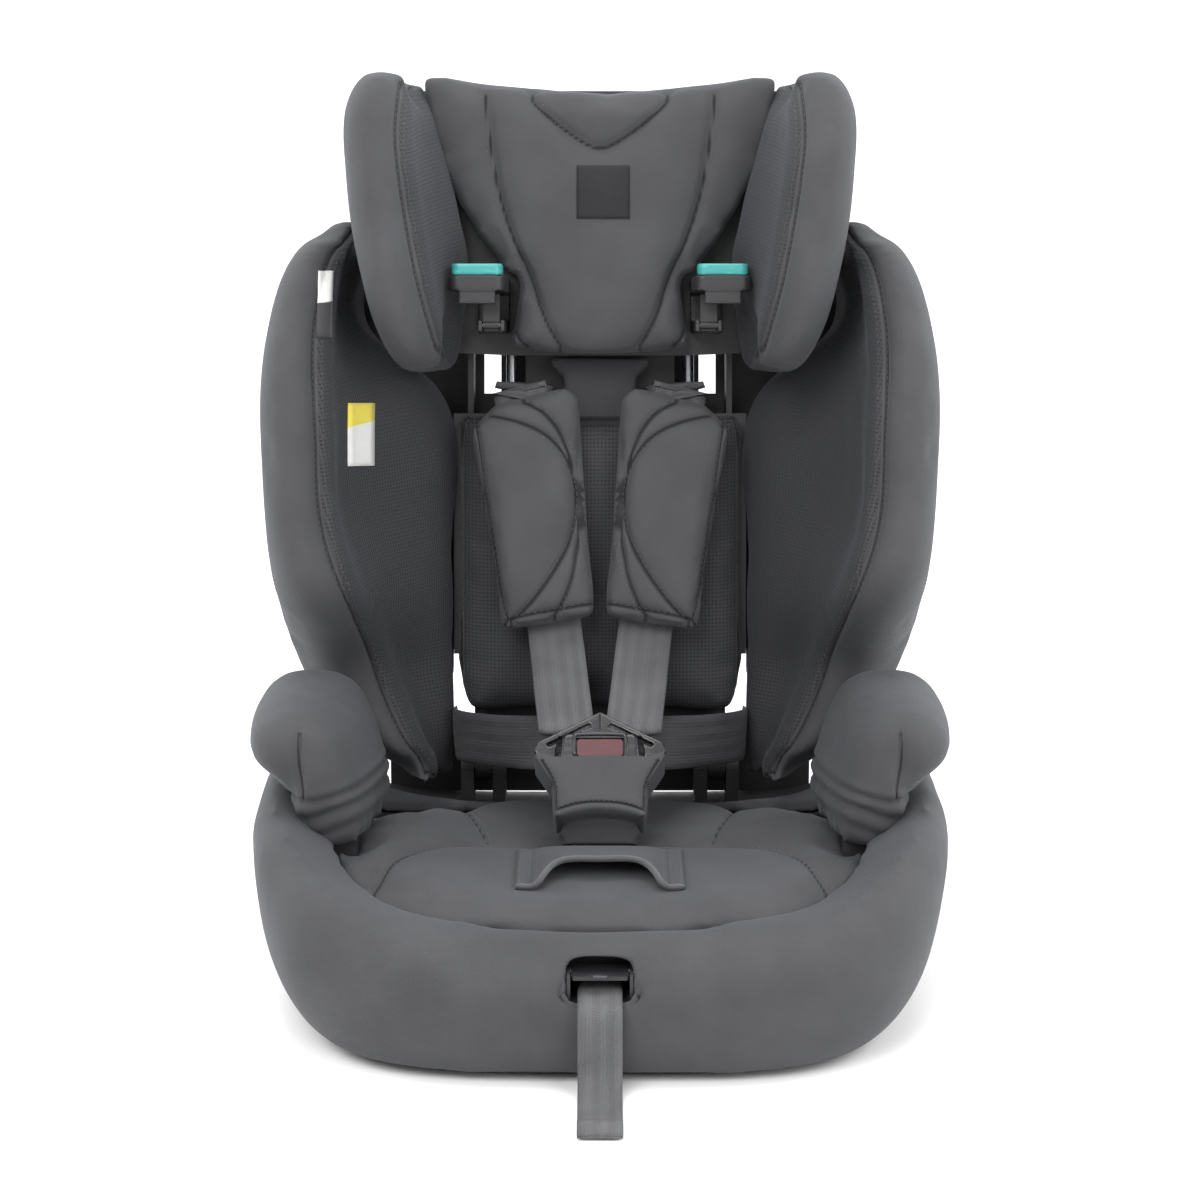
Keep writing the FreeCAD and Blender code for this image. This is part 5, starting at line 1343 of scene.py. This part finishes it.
# ==================================================================== the backrest
@dataclass
class Backrest:
    """The side wings, the back pad and the labels on them."""

    band: tuple = ((112, -5), (146, 58), (166, 127), (181, 179), (184, 237), (185, 302), (178, 350),
                   (165, 372), (151, 384))
    inner_fold: tuple = ((121, 30), (128, 110), (131, 200), (132, 290), (128, 360))
    pad_top: tuple = ((-42, 247), (0, 246), (42, 247))
    shell_back: float = 22.0

    def build_wings(self, palette: Palette) -> None:
        """Builds the two padded side wings."""
        obj = stuff("wing_cover_right", ("wing_pad_right",), Stuffing(voxel=0.0042, shrink=-0.0012, most=0.004, rounds=6))
        cover = Cover(obj, BACK)
        cover.ripple(0.0007, 0.07, 1.0)
        path = cover.crease(list(self.band), depth=0.0022, width=0.0026, dip=0.0022, dip_width=0.014)
        cover.split(list(self.band), 1.0)
        cover.settle()
        cover.stitches(path, -0.0030, palette.thread)
        cover.stitches(path, 0.0030, palette.thread)
        pieces = cover.finish("backrest", "cover_fabric", ("wing_pad_right",), palette.cover_right)
        other_side(pieces, "backrest", ("wing_pad_left",), palette.cover_left)

    def build_pad(self, palette: Palette) -> None:
        """Builds the padded panel behind the child's back."""
        obj = stuff("back_pad_cover", ("back_pad",), Stuffing(voxel=0.0048, most=0.007))
        cover = Cover(obj, BACK)
        cover.ripple(0.0006, 0.06, 2.0)
        top = cover.crease(list(self.pad_top), depth=0.0020)
        edge = [(-97, 60), (-98, 150), (-96, 236), (-84, 245), (-42, 247)]
        left = cover.crease(edge, depth=0.0014, width=0.0022, dip=0.0010, dip_width=0.006)
        right = cover.crease(flip_x(edge, -1.0), depth=0.0014, width=0.0022, dip=0.0010, dip_width=0.006)
        cover.split(list(self.pad_top), -1.0)
        cover.settle()
        for path, shift in ((top, 0.0028), (left, -0.0026), (right, 0.0026)):
            cover.stitches(path, shift, palette.thread)
        for x in (-1.0, 1.0):
            slot = smooth_path(mm((x * 30, 243.0), (x * 52, 246.0), (x * 74, 243.0)), 0.003)
            cover.welt(slot, 0.0022, palette.binding)
        cover.finish("backrest", "mesh_fabric", ("back_pad",), palette.cover_front)
        cover.tag("label_side", (94.0, 165.0), (9.0, 17.0), palette.white_label, "backrest")

    def build_apron(self, palette: Palette) -> None:
        """Builds the moulded apron that closes the shell below the back pad."""
        rows = []
        for z in np.linspace(8.0, 62.0, 10):
            rows.append(BACK.to_row(np.array([(x * MM, (-10.0 - 3.0 * (x / 88.0) ** 2) * MM, z * MM)
                                              for x in np.linspace(-88.0, 88.0, 25)])))
        apron = loft("back_apron", rows, palette.shell, closed=False, caps=False)
        bm = bmesh.new()
        bm.from_mesh(apron.data)
        bmesh.ops.solidify(bm, geom=bm.faces[:], thickness=0.0020)
        bm.to_mesh(apron.data)
        bm.free()
        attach(apron, "backrest")

    def build_shell_details(self, palette: Palette) -> None:
        """Raises the stiffening ribs on the shell's back and sets its screws."""
        ribs = []
        for x in (-150.0, -30.0, 30.0, 150.0):
            run = smooth_path(mm((x, self.shell_back, 100), (x, self.shell_back, 215), (x, self.shell_back, 335)), 0.006)
            ribs.append(tube("rib", BACK.to_row(run), 0.0032, palette.shell, (0, 1, 0), 0.7))
        for z in (100.0, 150.0, 200.0, 335.0):
            run = smooth_path(mm((-150, self.shell_back, z), (0, self.shell_back, z), (150, self.shell_back, z)), 0.006)
            ribs.append(tube("rib", BACK.to_row(run), 0.0032, palette.shell, (0, 1, 0), 0.7))
        ribs = join("shell_back_ribs", ribs)
        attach(ribs, "backrest")
        heads = []
        for x, z in ((-120, 120), (120, 120), (-120, 315), (120, 315), (0, 175)):
            rings = []
            for radius, rise in ((4.2, -0.5), (4.2, 1.0), (3.4, 1.9), (1.6, 2.0), (1.4, 0.8)):
                turn = np.linspace(0, 2 * math.pi, 24, endpoint=False)
                rings.append(BACK.to_row(np.array([((x + radius * math.cos(t)) * MM, (self.shell_back + rise) * MM,
                                                    (z + radius * math.sin(t)) * MM) for t in turn])))
            heads.append(loft("screw", rings, palette.steel))
        heads = join("shell_back_screws", heads)
        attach(heads, "backrest")

    def build_labels(self, palette: Palette) -> None:
        """Sews the two blank labels on the left wing."""
        wing = Cover(bpy.data.objects["wing_cover_left"], BACK)
        wing.index()
        wing.tag("label_wing_upper", (-182.0, 320.0), (9.0, 44.0), palette.dark_label, "backrest")
        wing.tag("label_wing_lower", (-160.0, 234.0), (16.0, 42.0), palette.yellow_label, "backrest")


# ==================================================================== the headrest
@dataclass
class Headrest:
    """The head pad with its darts and patch, and the head wings."""

    band: tuple = ((104, 284), (120, 348), (131, 419), (130, 460), (127, 478))
    centre: tuple = ((58, 286), (68, 325), (74, 348), (91, 378), (114, 459))
    dart: tuple = ((78, 467), (76, 440), (68, 393), (50, 340), (27, 288))
    crown: tuple = ((-46, 468), (-44, 460), (-30, 445), (-10, 431), (0, 428), (10, 431), (30, 445), (44, 460),
                    (46, 468))
    hem: tuple = ((73, 345), (69, 325), (62, 304), (56, 293), (46, 288), (28, 286))

    def build_wings(self, palette: Palette) -> None:
        """Builds the two padded head wings."""
        obj = stuff("head_cover_right", ("head_wing_right",), Stuffing(voxel=0.0046, most=0.006))
        cover = Cover(obj, BACK)
        cover.ripple(0.0006, 0.06, 3.0)
        path = cover.crease(list(self.band), depth=0.0020, width=0.0026, dip=0.0018, dip_width=0.012)
        cover.split(list(self.band), 1.0)
        cover.settle()
        cover.stitches(path, -0.0028, palette.thread)
        cover.stitches(path, 0.0028, palette.thread)
        pieces = cover.finish("headrest", "cover_fabric", ("head_wing_right",), palette.cover_right)
        other_side(pieces, "headrest", ("head_wing_left",), palette.cover_left)

    def build_pad(self, palette: Palette) -> None:
        """Builds the head pad, its darts, its bound lower edge and its blank patch."""
        obj = stuff("head_pad_cover", ("head_pad",), Stuffing(voxel=0.0042, most=0.007))
        cover = Cover(obj, BACK)
        self.widen(cover)
        cover.ripple(0.0005, 0.06, 4.0)
        seams = []
        for side in (1.0, -1.0):
            seams.append((cover.crease(flip_x(list(self.dart), side), depth=0.0030, dip=0.0026), side))
        crown = cover.crease(list(self.crown), depth=0.0032, dip=0.0024)
        for side in (1.0, -1.0):
            cover.crease([(x * 0.965, z + 2.6) for x, z in flip_x(list(self.hem), side)], depth=0.0016,
                         width=0.0022, dip=0.0008, dip_width=0.005)
        cover.settle()
        for path, side in seams:
            cover.stitches(path, 0.0026 * side, palette.thread)
        cover.stitches(crown, 0.0026, palette.thread)
        for side in (1.0, -1.0):
            hem = smooth_path(mm(*flip_x(list(self.hem), side)), 0.003)
            cover.welt(hem, 0.0026, palette.binding)
            cover.stitches(hem, 0.0060 * side, palette.thread)
        low, high, left, right = 381.5, 414.5, -14.0, 18.5
        cover.tag("head_patch", (2.2, 398.0), (36.0, 36.0), palette.patch, "headrest")
        for ends in (((left, low), (right, low)), ((left, high), (right, high)),
                     ((left, low), (left, high)), ((right, low), (right, high))):
            cover.stitches(smooth_path(mm(*ends), 0.003), 0.0, palette.binding, Stitch(0.0020, 0.0030, 0.0014))
        cover.finish("headrest", "cover_fabric", ("head_pad",), palette.sewn)

    def widen(self, cover: Cover) -> None:
        """Draws the pad's upper part out to the wings, and raises its top edge towards them."""
        x, z = cover.co[:, 0], cover.co[:, 2]
        outer = np.clip((np.abs(x) - 0.070) / 0.030, 0, 1)
        cover.co[:, 0] += np.sign(x) * 0.014 * outer * np.clip((z - 0.350) / 0.040, 0, 1)
        cover.co[:, 2] += (0.005 + 0.009 * np.clip(np.abs(x) / 0.105, 0, 1) ** 2) * np.clip((z - 0.425) / 0.035, 0, 1)


# ==================================================================== the harness
@dataclass
class Harness:
    """Shoulder straps and pads, lap straps, crotch strap, buckle cover and tongues."""

    pad_top: tuple = (54.0, -55.0, 258.0)
    pad_low: tuple = (31.0, -74.0, 100.0)
    seam_outer: tuple = ((0, 160.7), (-17, 142), (-29.4, 115.7), (-33.5, 94), (-33.2, 74), (-26.8, 54),
                         (-19, 35.8), (-8, 15.8), (1.5, 0))
    seam_inner: tuple = ((24.7, 151.5), (4.5, 143), (-13.4, 130.7), (-25.7, 112.4), (-30.3, 94), (-27.9, 77.4),
                         (-21.7, 60.8), (-7.5, 40.8), (9.4, 22.5), (29, 5))
    rim: tuple = ((33.0, 4), (33.6, 60), (34.0, 120), (33.5, 146))
    foot: tuple = (0.0, -0.052, 0.090)

    def pad_axes(self) -> Axes:
        """The upright frame of the right shoulder pad, with its z axis up the strap."""
        top, low = (BACK.to_row(np.array([p]) * MM)[0] for p in (self.pad_top, self.pad_low))
        along = (top - low) / np.linalg.norm(top - low)
        out = -np.cross(top - low, [1.0, 0.0, 0.0])
        out /= np.linalg.norm(out)
        out = -out if out[1] > 0 else out
        wide = np.cross(along, out)
        return Axes(tuple(low), (tuple(wide), tuple(-out), tuple(along)))

    def build_pads(self, palette: Palette) -> None:
        """Builds the two quilted shoulder pads."""
        obj = stuff("harness_pad_right", ("shoulder_pad_right",), Stuffing(voxel=0.0030, shrink=0.001, most=0.004,
                                                                         rounds=4))
        cover = Cover(obj, self.pad_axes())
        cover.ripple(0.0004, 0.045, 5.0)
        outer = cover.crease(list(self.seam_outer), depth=0.0022, width=0.0022, dip=0.0022, dip_width=0.010)
        inner = cover.crease(list(self.seam_inner), depth=0.0022, width=0.0022, dip=0.0020, dip_width=0.009)
        rim = cover.crease(list(self.rim), depth=0.0016, width=0.0020, dip=0.0006, dip_width=0.005)
        hem = cover.crease([(-36, 13), (0, 11.5), (33, 10.5)], depth=0.0012, width=0.0020, dip=0.0008,
                           dip_width=0.006)
        cover.settle()
        for path, shift in ((outer, -0.0020), (inner, 0.0020), (rim, 0.0018), (hem, 0.0018)):
            cover.stitches(path, shift, palette.thread, Stitch(0.0028, 0.0042, 0.0007))
        cover.welt(smooth_path(mm((36.0, 6), (36.8, 60), (37.3, 120), (36.8, 148)), 0.003), 0.0016, palette.binding)
        pieces = cover.finish("backrest", "cover_fabric", ("shoulder_pad_right",), palette.sewn)
        other_side(pieces, "backrest", ("shoulder_pad_left",))

    def build_shoulder_straps(self, palette: Palette) -> None:
        """Lays the shoulder straps from the slots in the back pad, through the pads, to the tongues."""
        pads = self.pad_axes()
        out = -np.array(pads.rows[1])
        up, forward = BUCKLE.direction((0, 0, 1)), -BUCKLE.direction((0, 1, 0))
        top, low = (BACK.to_row(np.array([p]) * MM)[0] for p in (self.pad_top, self.pad_low))
        tail = BACK.to_row(np.array([[50.0, -22.0, 268.0]]) * MM)[0]
        bend = top + (top - low) * 0.03
        end = np.array(self.foot) + np.array([0.0225, 0, 0]) + np.array(up) * 0.0925 - np.array(forward) * 0.0002
        fold = end - np.array(up) * 0.006 - np.array(forward) * 0.004
        mid = low * 0.4 + end * 0.6 + out * 0.0015
        facing = np.array(forward)
        route = [tail, bend, top, top * 0.5 + low * 0.5, low, mid, end, fold]
        outward = [(0, -0.3, 1.0), (0, -0.7, 0.7), out, out, out, (out + facing) / 2, facing, facing]
        strap = Strap(0.037, 0.0017, 0.0005).lay("shoulder_belt_right", route, outward, palette.webbing)
        left = mirrored_copy(strap, "shoulder_belt_left")
        for piece, node in ((strap, "shoulder_strap_right"), (left, "shoulder_strap_left")):
            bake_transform(piece)
            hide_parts(node)

    def build_lap_straps(self, palette: Palette) -> None:
        """Lays the lap straps from the tongues round the hips and down behind the seat."""
        route = mm((20, 2, 152), (34, 20, 146), (59, 52, 137.5), (85, 77, 133), (99, 98, 130), (99.5, 121, 126))
        outward = [(0.0, -0.75, 0.65), (0.35, -0.8, 0.5), (0.5, -0.85, 0.1), (0.6, -0.8, 0.0), (0.9, -0.45, 0.0),
                   (1.0, -0.1, 0.0)]
        strap = Strap(0.036, 0.0017, 0.0006).lay("lap_belt_right", route, outward, palette.dark_webbing)
        left = mirrored_copy(strap, "lap_belt_left")
        for piece, node in ((strap, "lap_strap_right"), (left, "lap_strap_left")):
            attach(piece, "base")
            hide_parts(node)

    def build_crotch_strap(self, palette: Palette) -> None:
        """Lays the strap that holds the buckle, from the housing down through the seat."""
        up, forward = np.array(BUCKLE.direction((0, 0, 1))), -np.array(BUCKLE.direction((0, 1, 0)))
        foot = np.array(self.foot)
        route = [foot + up * 0.037, foot + up * 0.020, foot + up * 0.004, foot + np.array([0, -0.002, -0.010]),
                 foot + np.array([0, -0.002, -0.041])]
        outward = [forward, forward, forward * 0.8 + np.array([0, -0.2, 0]), (0, -1, 0), (0, -1, 0)]
        strap = Strap(0.040, 0.0017, 0.0002).lay("crotch_belt", route, outward, palette.webbing)
        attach(strap, "base")
        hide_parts("crotch_strap")

    def build_buckle(self, palette: Palette) -> None:
        """Builds the buckle's padded cover, its inner sleeve, the moulded tongues and the bezel."""
        obj = stuff("buckle_sleeve", ("buckle_cover",), Stuffing(voxel=0.0017, shrink=0.0002, most=0.0016, rounds=3,
                                                              refine=1))
        cover = Cover(obj, BUCKLE)
        x, z = cover.co[:, 0], cover.co[:, 2]
        ears = np.clip((np.abs(x) - 0.030) / 0.014, 0, 1)
        cover.co[:, 2] += 0.003 * ears ** 1.5
        hollow = np.clip((0.030 - z) / 0.010, 0, 1) * np.clip(1 - (x / 0.030) ** 2, 0, 1)
        cover.co[:, 2] += 0.0055 * hollow
        cover.ripple(0.00025, 0.03, 6.0)
        hem = cover.crease([(-27, 26), (-14, 29.5), (0, 30.5), (14, 29.5), (27, 26)], depth=0.0009, width=0.0012,
                           dip=0.0004, dip_width=0.003)
        sides = [cover.crease([(s * 28.5, 26), (s * 30, 44), (s * 38, 60)], depth=0.0008, width=0.0012,
                              dip=0.0004, dip_width=0.003) for s in (-1.0, 1.0)]
        cover.settle()
        cover.stitches(hem, 0.0012, palette.thread, Stitch(0.0022, 0.0034, 0.0006))
        for path, shift in zip(sides, (-0.0014, 0.0014)):
            cover.stitches(path, shift, palette.thread, Stitch(0.0022, 0.0034, 0.0006))
        cover.finish("base", "cover_fabric", ("buckle_cover",), palette.sewn, fill=0.6)
        self.inner_sleeve(palette)
        for side, s in SIDES.items():
            tongue = packed_copy(f"tongue_moulding_{side}", (f"tongue_{side}",), -0.0007)
            remesh(tongue, 0.0007, 2)
            tongue.data.materials.clear()
            tongue.data.materials.append(palette.gloss)
            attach(tongue, f"tongue_{side}")
            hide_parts(f"tongue_{side}")
        rim = [(-16.8, 66), (-16.8, 79), (-13, 81.6), (13, 81.6), (16.8, 79), (16.8, 66), (13, 64.4), (-13, 64.4),
               (-16.8, 66)]
        path = smooth_path([(px * MM, -0.0112, pz * MM) for px, pz in rim], 0.0015)
        bezel = tube("buckle_bezel", BUCKLE.to_row(path), 0.0013, palette.gloss,
                     tuple(BUCKLE.direction((0, -1, 0))), 0.8)
        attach(bezel, "base")

    def inner_sleeve(self, palette: Palette) -> None:
        """Builds the thin sleeve between the buckle's cover and the seat, in a near-black copy of the cover cloth that
        is painted shade for the gap under the cover.
        """
        rings = []
        for height in np.linspace(6.5, 27.0, 12):
            swell = 1.0 + 0.05 * math.sin(height * 0.55)
            ring = []
            for t in np.linspace(0, 2 * math.pi, 40, endpoint=False):
                c, n = math.cos(t), math.sin(t)
                ring.append((0.0255 * swell * math.copysign(abs(c) ** 0.35, c),
                             0.0058 * swell * math.copysign(abs(n) ** 0.6, n), height * MM))
            rings.append(BUCKLE.to_row(np.array(ring)))
        # painted shade: the sleeve fills the gap under the buckle's cover with near-black cloth
        sleeve = loft("buckle_inner_sleeve", rings, palette.painted_shade_cloth, caps=False)
        bm = bmesh.new()
        bm.from_mesh(sleeve.data)
        bmesh.ops.solidify(bm, geom=bm.faces[:], thickness=0.0012)
        bm.to_mesh(sleeve.data)
        bm.free()
        sleeve.data.shade_smooth()
        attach(sleeve, "base")


# ==================================================================== the base
@dataclass
class Booster:
    """The base's cover, the seat cushion with its crotch flap, and the armrest pads."""

    thigh: tuple = ((-150, -141), (-136.9, -98), (-124.7, -66), (-104.5, -42.5), (-78.8, -32), (-52.6, -28),
                    (-26.3, -25.5), (0, -25), (26.3, -25.5), (52.6, -28), (78.8, -32), (104.5, -42.5),
                    (124.7, -66), (136.9, -98), (150, -141))
    side: tuple = ((-104.8, 97), (-96.5, 81), (-87, 47.5), (-78.8, 9), (-74.6, -17.5))

    def build_cushion(self, palette: Palette) -> None:
        """Builds the seat cushion with its seams."""
        obj = stuff("seat_cushion_cover", ("seat_cushion",), Stuffing(voxel=0.0058, shrink=0.0, most=0.009, rounds=4))
        cover = Cover(obj, SEAT, (0, 1), (0.0, 0.0, 1.0))
        cover.co[:, 0] *= 1.022
        cover.co[:, 1] += 0.020 * (cover.co[:, 1] + 0.02)
        cover.ripple(0.0009, 0.09, 7.0)
        self.raise_thighs(cover)
        thigh = cover.crease(list(self.thigh), depth=0.0030, width=0.0030, dip=0.0030, dip_width=0.016)
        sides = [cover.crease(flip_x(list(self.side), s), depth=0.0026, width=0.0028, dip=0.0026, dip_width=0.014)
                 for s in (1.0, -1.0)]
        cover.settle()
        cover.stitches(thigh, 0.0030, palette.thread)
        cover.stitches(thigh, -0.0030, palette.thread)
        for path in sides:
            cover.stitches(path, 0.0028, palette.thread)
            cover.stitches(path, -0.0028, palette.thread)
        cover.finish("base", "cover_fabric", ("seat_cushion",), palette.sewn)
        self.build_flap(cover, palette)

    def raise_thighs(self, cover: Cover) -> None:
        """Plumps the two thigh lobes in front and sinks the seat's rear a little."""
        x, y = cover.co[:, 0], cover.co[:, 1]
        lobe = np.exp(-((np.abs(x) - 0.085) / 0.055) ** 2 - ((y + 0.115) / 0.055) ** 2)
        bowl = np.exp(-(x / 0.10) ** 2 - ((y - 0.03) / 0.07) ** 2)
        cover.push(0.004 * lobe - 0.004 * bowl)

    def build_flap(self, cushion: Cover, palette: Palette) -> None:
        """Builds the stitched flap that the crotch strap comes out from under.

        Args:
            cushion: the seat cushion.
            palette: the finishes.
        """
        rows = []
        for v in np.linspace(0, 1, 19):
            row = []
            for u in np.linspace(-1, 1, 35):
                arch = max(0.0, 1 - (abs(u) / 0.80) ** 4)
                front = -0.138 + 0.034 * max(0.0, 1 - (abs(u) / 0.72) ** 6)
                x, y = 0.0530 * u, front + v * (-0.050 - front)
                hit, normal, _, _ = cushion.tree.ray_cast(Vector((x, y, 0.4)), Vector((0, 0, -1)))
                lift = 0.0022 + 0.0085 * arch * (1 - v) ** 0.8 + 0.0030 * arch
                row.append(tuple(hit + Vector((0, -0.3, 0.95)) * lift))
            rows.append(np.array(row))
        flap = loft("crotch_flap", rows, palette.cover, closed=False, caps=False)
        bm = bmesh.new()
        bm.from_mesh(flap.data)
        bmesh.ops.solidify(bm, geom=bm.faces[:], thickness=0.0022)
        bm.to_mesh(flap.data)
        bm.free()
        flap.data.shade_smooth()
        skin = Cover(flap, SEAT, (0, 1), (0.0, 0.0, 1.0))
        tabs = [skin.crease([(s * 42.5, -54), (s * 42.5, -130)], depth=0.0014, width=0.0016, dip=0.0004,
                            dip_width=0.004) for s in (-1.0, 1.0)]
        skin.settle()
        for path, s in zip(tabs, (-1.0, 1.0)):
            skin.stitches(path, 0.0022, palette.thread)
            skin.stitches(path, -0.0022, palette.thread)
        edges = [smooth_path(mm((s * 51.0, -56), (s * 51.2, -95), (s * 50.6, -134)), 0.003) for s in (-1.0, 1.0)]
        for path in edges:
            skin.stitches(path, 0.0, palette.thread)
        skin.extras.append(tube("flap_hem", rows[0], 0.0021, palette.binding, (0, -0.4, 0.9), 0.8))
        skin.finish("base", "cover_fabric", (), palette.sewn, fill=None)

    def build_armrests(self, palette: Palette) -> None:
        """Builds the armrest pads with the wrinkles at their necks."""
        obj = stuff("armrest_cover_right", ("armrest_pad_right",), Stuffing(voxel=0.0042, most=0.005))
        cover = Cover(obj, SEAT)
        height = cover.co[:, 2]
        for at, depth in ((0.139, 0.0016), (0.130, 0.0018), (0.121, 0.0016)):
            bent = height - at - 0.004 * np.sin(cover.co[:, 0] * 70 + cover.co[:, 1] * 30)
            cover.co += cover.normals * (-depth * np.exp(-(bent / 0.0022) ** 2)
                                         + 0.5 * depth * np.exp(-((bent - 0.0045) / 0.003) ** 2))[:, None]
        cover.co[:, 2] -= 0.011 * np.clip((0.132 - height) / 0.022, 0, 1)
        cover.ripple(0.0005, 0.05, 8.0)
        seam = cover.crease([(190, 138), (191.5, 160), (191, 182)], depth=0.0018, width=0.0022, dip=0.0012,
                            dip_width=0.008)
        cover.settle()
        cover.stitches(seam, 0.0024, palette.thread)
        pieces = cover.finish("base", "cover_fabric", ("armrest_pad_right",), palette.sewn)
        other_side(pieces, "base", ("armrest_pad_left",))

    def build_cover(self, palette: Palette) -> None:
        """Builds the cover over the base's front, sides and bolsters."""
        obj = packed_copy("base_cover_skin", ("base_cover",))
        remesh(obj, 0.0052, 4, 1)
        cover = Cover(obj, SEAT)
        front = np.clip((-0.195 - cover.co[:, 1]) / 0.03, 0, 1)
        low = np.exp(-((cover.co[:, 2] - 0.020) / 0.012) ** 2)
        cover.co += cover.normals * (0.0006 * low * front)[:, None]
        cover.ripple(0.0011, 0.11, 9.0, (1.0, 1.0, 0.5))
        tuck = cover.crease([(-21, 58.5), (0, 60), (21, 58.5)], depth=0.0026, width=0.0030, dip=0.0030,
                            dip_width=0.014)
        cover.settle()
        cover.welt(tuck, 0.0024, palette.binding)
        cover.stitches(tuck, 0.0048, palette.thread)
        cover.finish("base", "cover_fabric", ("base_cover",), palette.sewn, fill=0.4)


# ==================================================================== the hard parts
class HardParts:
    """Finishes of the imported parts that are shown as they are, and a few mouldings reworked from them."""

    def __init__(self, palette: Palette) -> None:
        """Keeps the palette and matches its materials to the record's slots."""
        self.palette = palette
        self.by_slot = {
            "cover_fabric": palette.cover, "mesh_fabric": palette.cover, "webbing": palette.webbing,
            "black_plastic": palette.black, "teal_plastic": palette.teal, "red_plastic": palette.red,
            "green_plastic": palette.green, "tongue_metal": palette.gloss, "steel": palette.steel,
        }

    def finish_nodes(self) -> None:
        """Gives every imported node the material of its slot."""
        for name, node in frame["nodes"].items():
            slots = node.data.materials
            for i, old in enumerate(slots):
                key = old.name.split(".")[0] if old else "black_plastic"
                if key not in self.by_slot:
                    LOG.warning("%s has an unknown slot %s", name, key)
                slots[i] = self.by_slot.get(key, self.palette.black)
        for name in ("base_shell", "base_skirt", "base_ribs", "back_shell", "headrest_shell"):
            slots = frame["nodes"][name].data.materials
            for i in range(len(slots)):
                slots[i] = self.palette.shell
        for name in ("buckle_front", "buckle_rear"):
            slots = frame["nodes"][name].data.materials
            for i in range(len(slots)):
                slots[i] = self.palette.gloss

    def remould(self, node: str, name: str, body: str, voxel: float, material: bpy.types.Material) -> None:
        """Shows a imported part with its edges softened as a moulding's are.

        Args:
            node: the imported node.
            name: the piece's name.
            body: the body it moves with.
            voxel: the size of its new mesh.
            material: its finish.
        """
        obj = packed_copy(name, (node,))
        remesh(obj, voxel, 3)
        obj.data.materials.clear()
        obj.data.materials.append(material)
        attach(obj, body)
        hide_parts(node)

    def build_guides(self) -> None:
        """Softens the belt guides and their coloured inserts."""
        for side in SIDES:
            self.remould(f"belt_guide_{side}", f"belt_hook_{side}", "headrest", 0.0010,
                         self.palette.black)
            self.remould(f"belt_guide_insert_{side}", f"belt_hook_insert_{side}", "headrest",
                         0.0009, self.palette.teal)


def main() -> None:
    """Builds the seat's looks, piece by piece."""
    logging.basicConfig(level=logging.INFO, format="%(message)s")
    palette = Palette()
    studio = Studio()
    studio.build_camera()
    AdjusterTail().build(palette)
    hard = HardParts(palette)
    hard.finish_nodes()
    hard.build_guides()
    booster, backrest, headrest, harness = Booster(), Backrest(), Headrest(), Harness()
    steps = [booster.build_cover, booster.build_cushion, booster.build_armrests, backrest.build_wings,
             backrest.build_pad, backrest.build_apron, backrest.build_shell_details, backrest.build_labels, headrest.build_wings, headrest.build_pad,
             harness.build_pads, harness.build_shoulder_straps, harness.build_lap_straps,
             harness.build_crotch_strap, harness.build_buckle, studio.build_floor]
    for step in steps:
        step(palette)
        LOG.info("built %s", step.__name__)
    studio.build_lights()


if __name__ == "__main__":
    main()
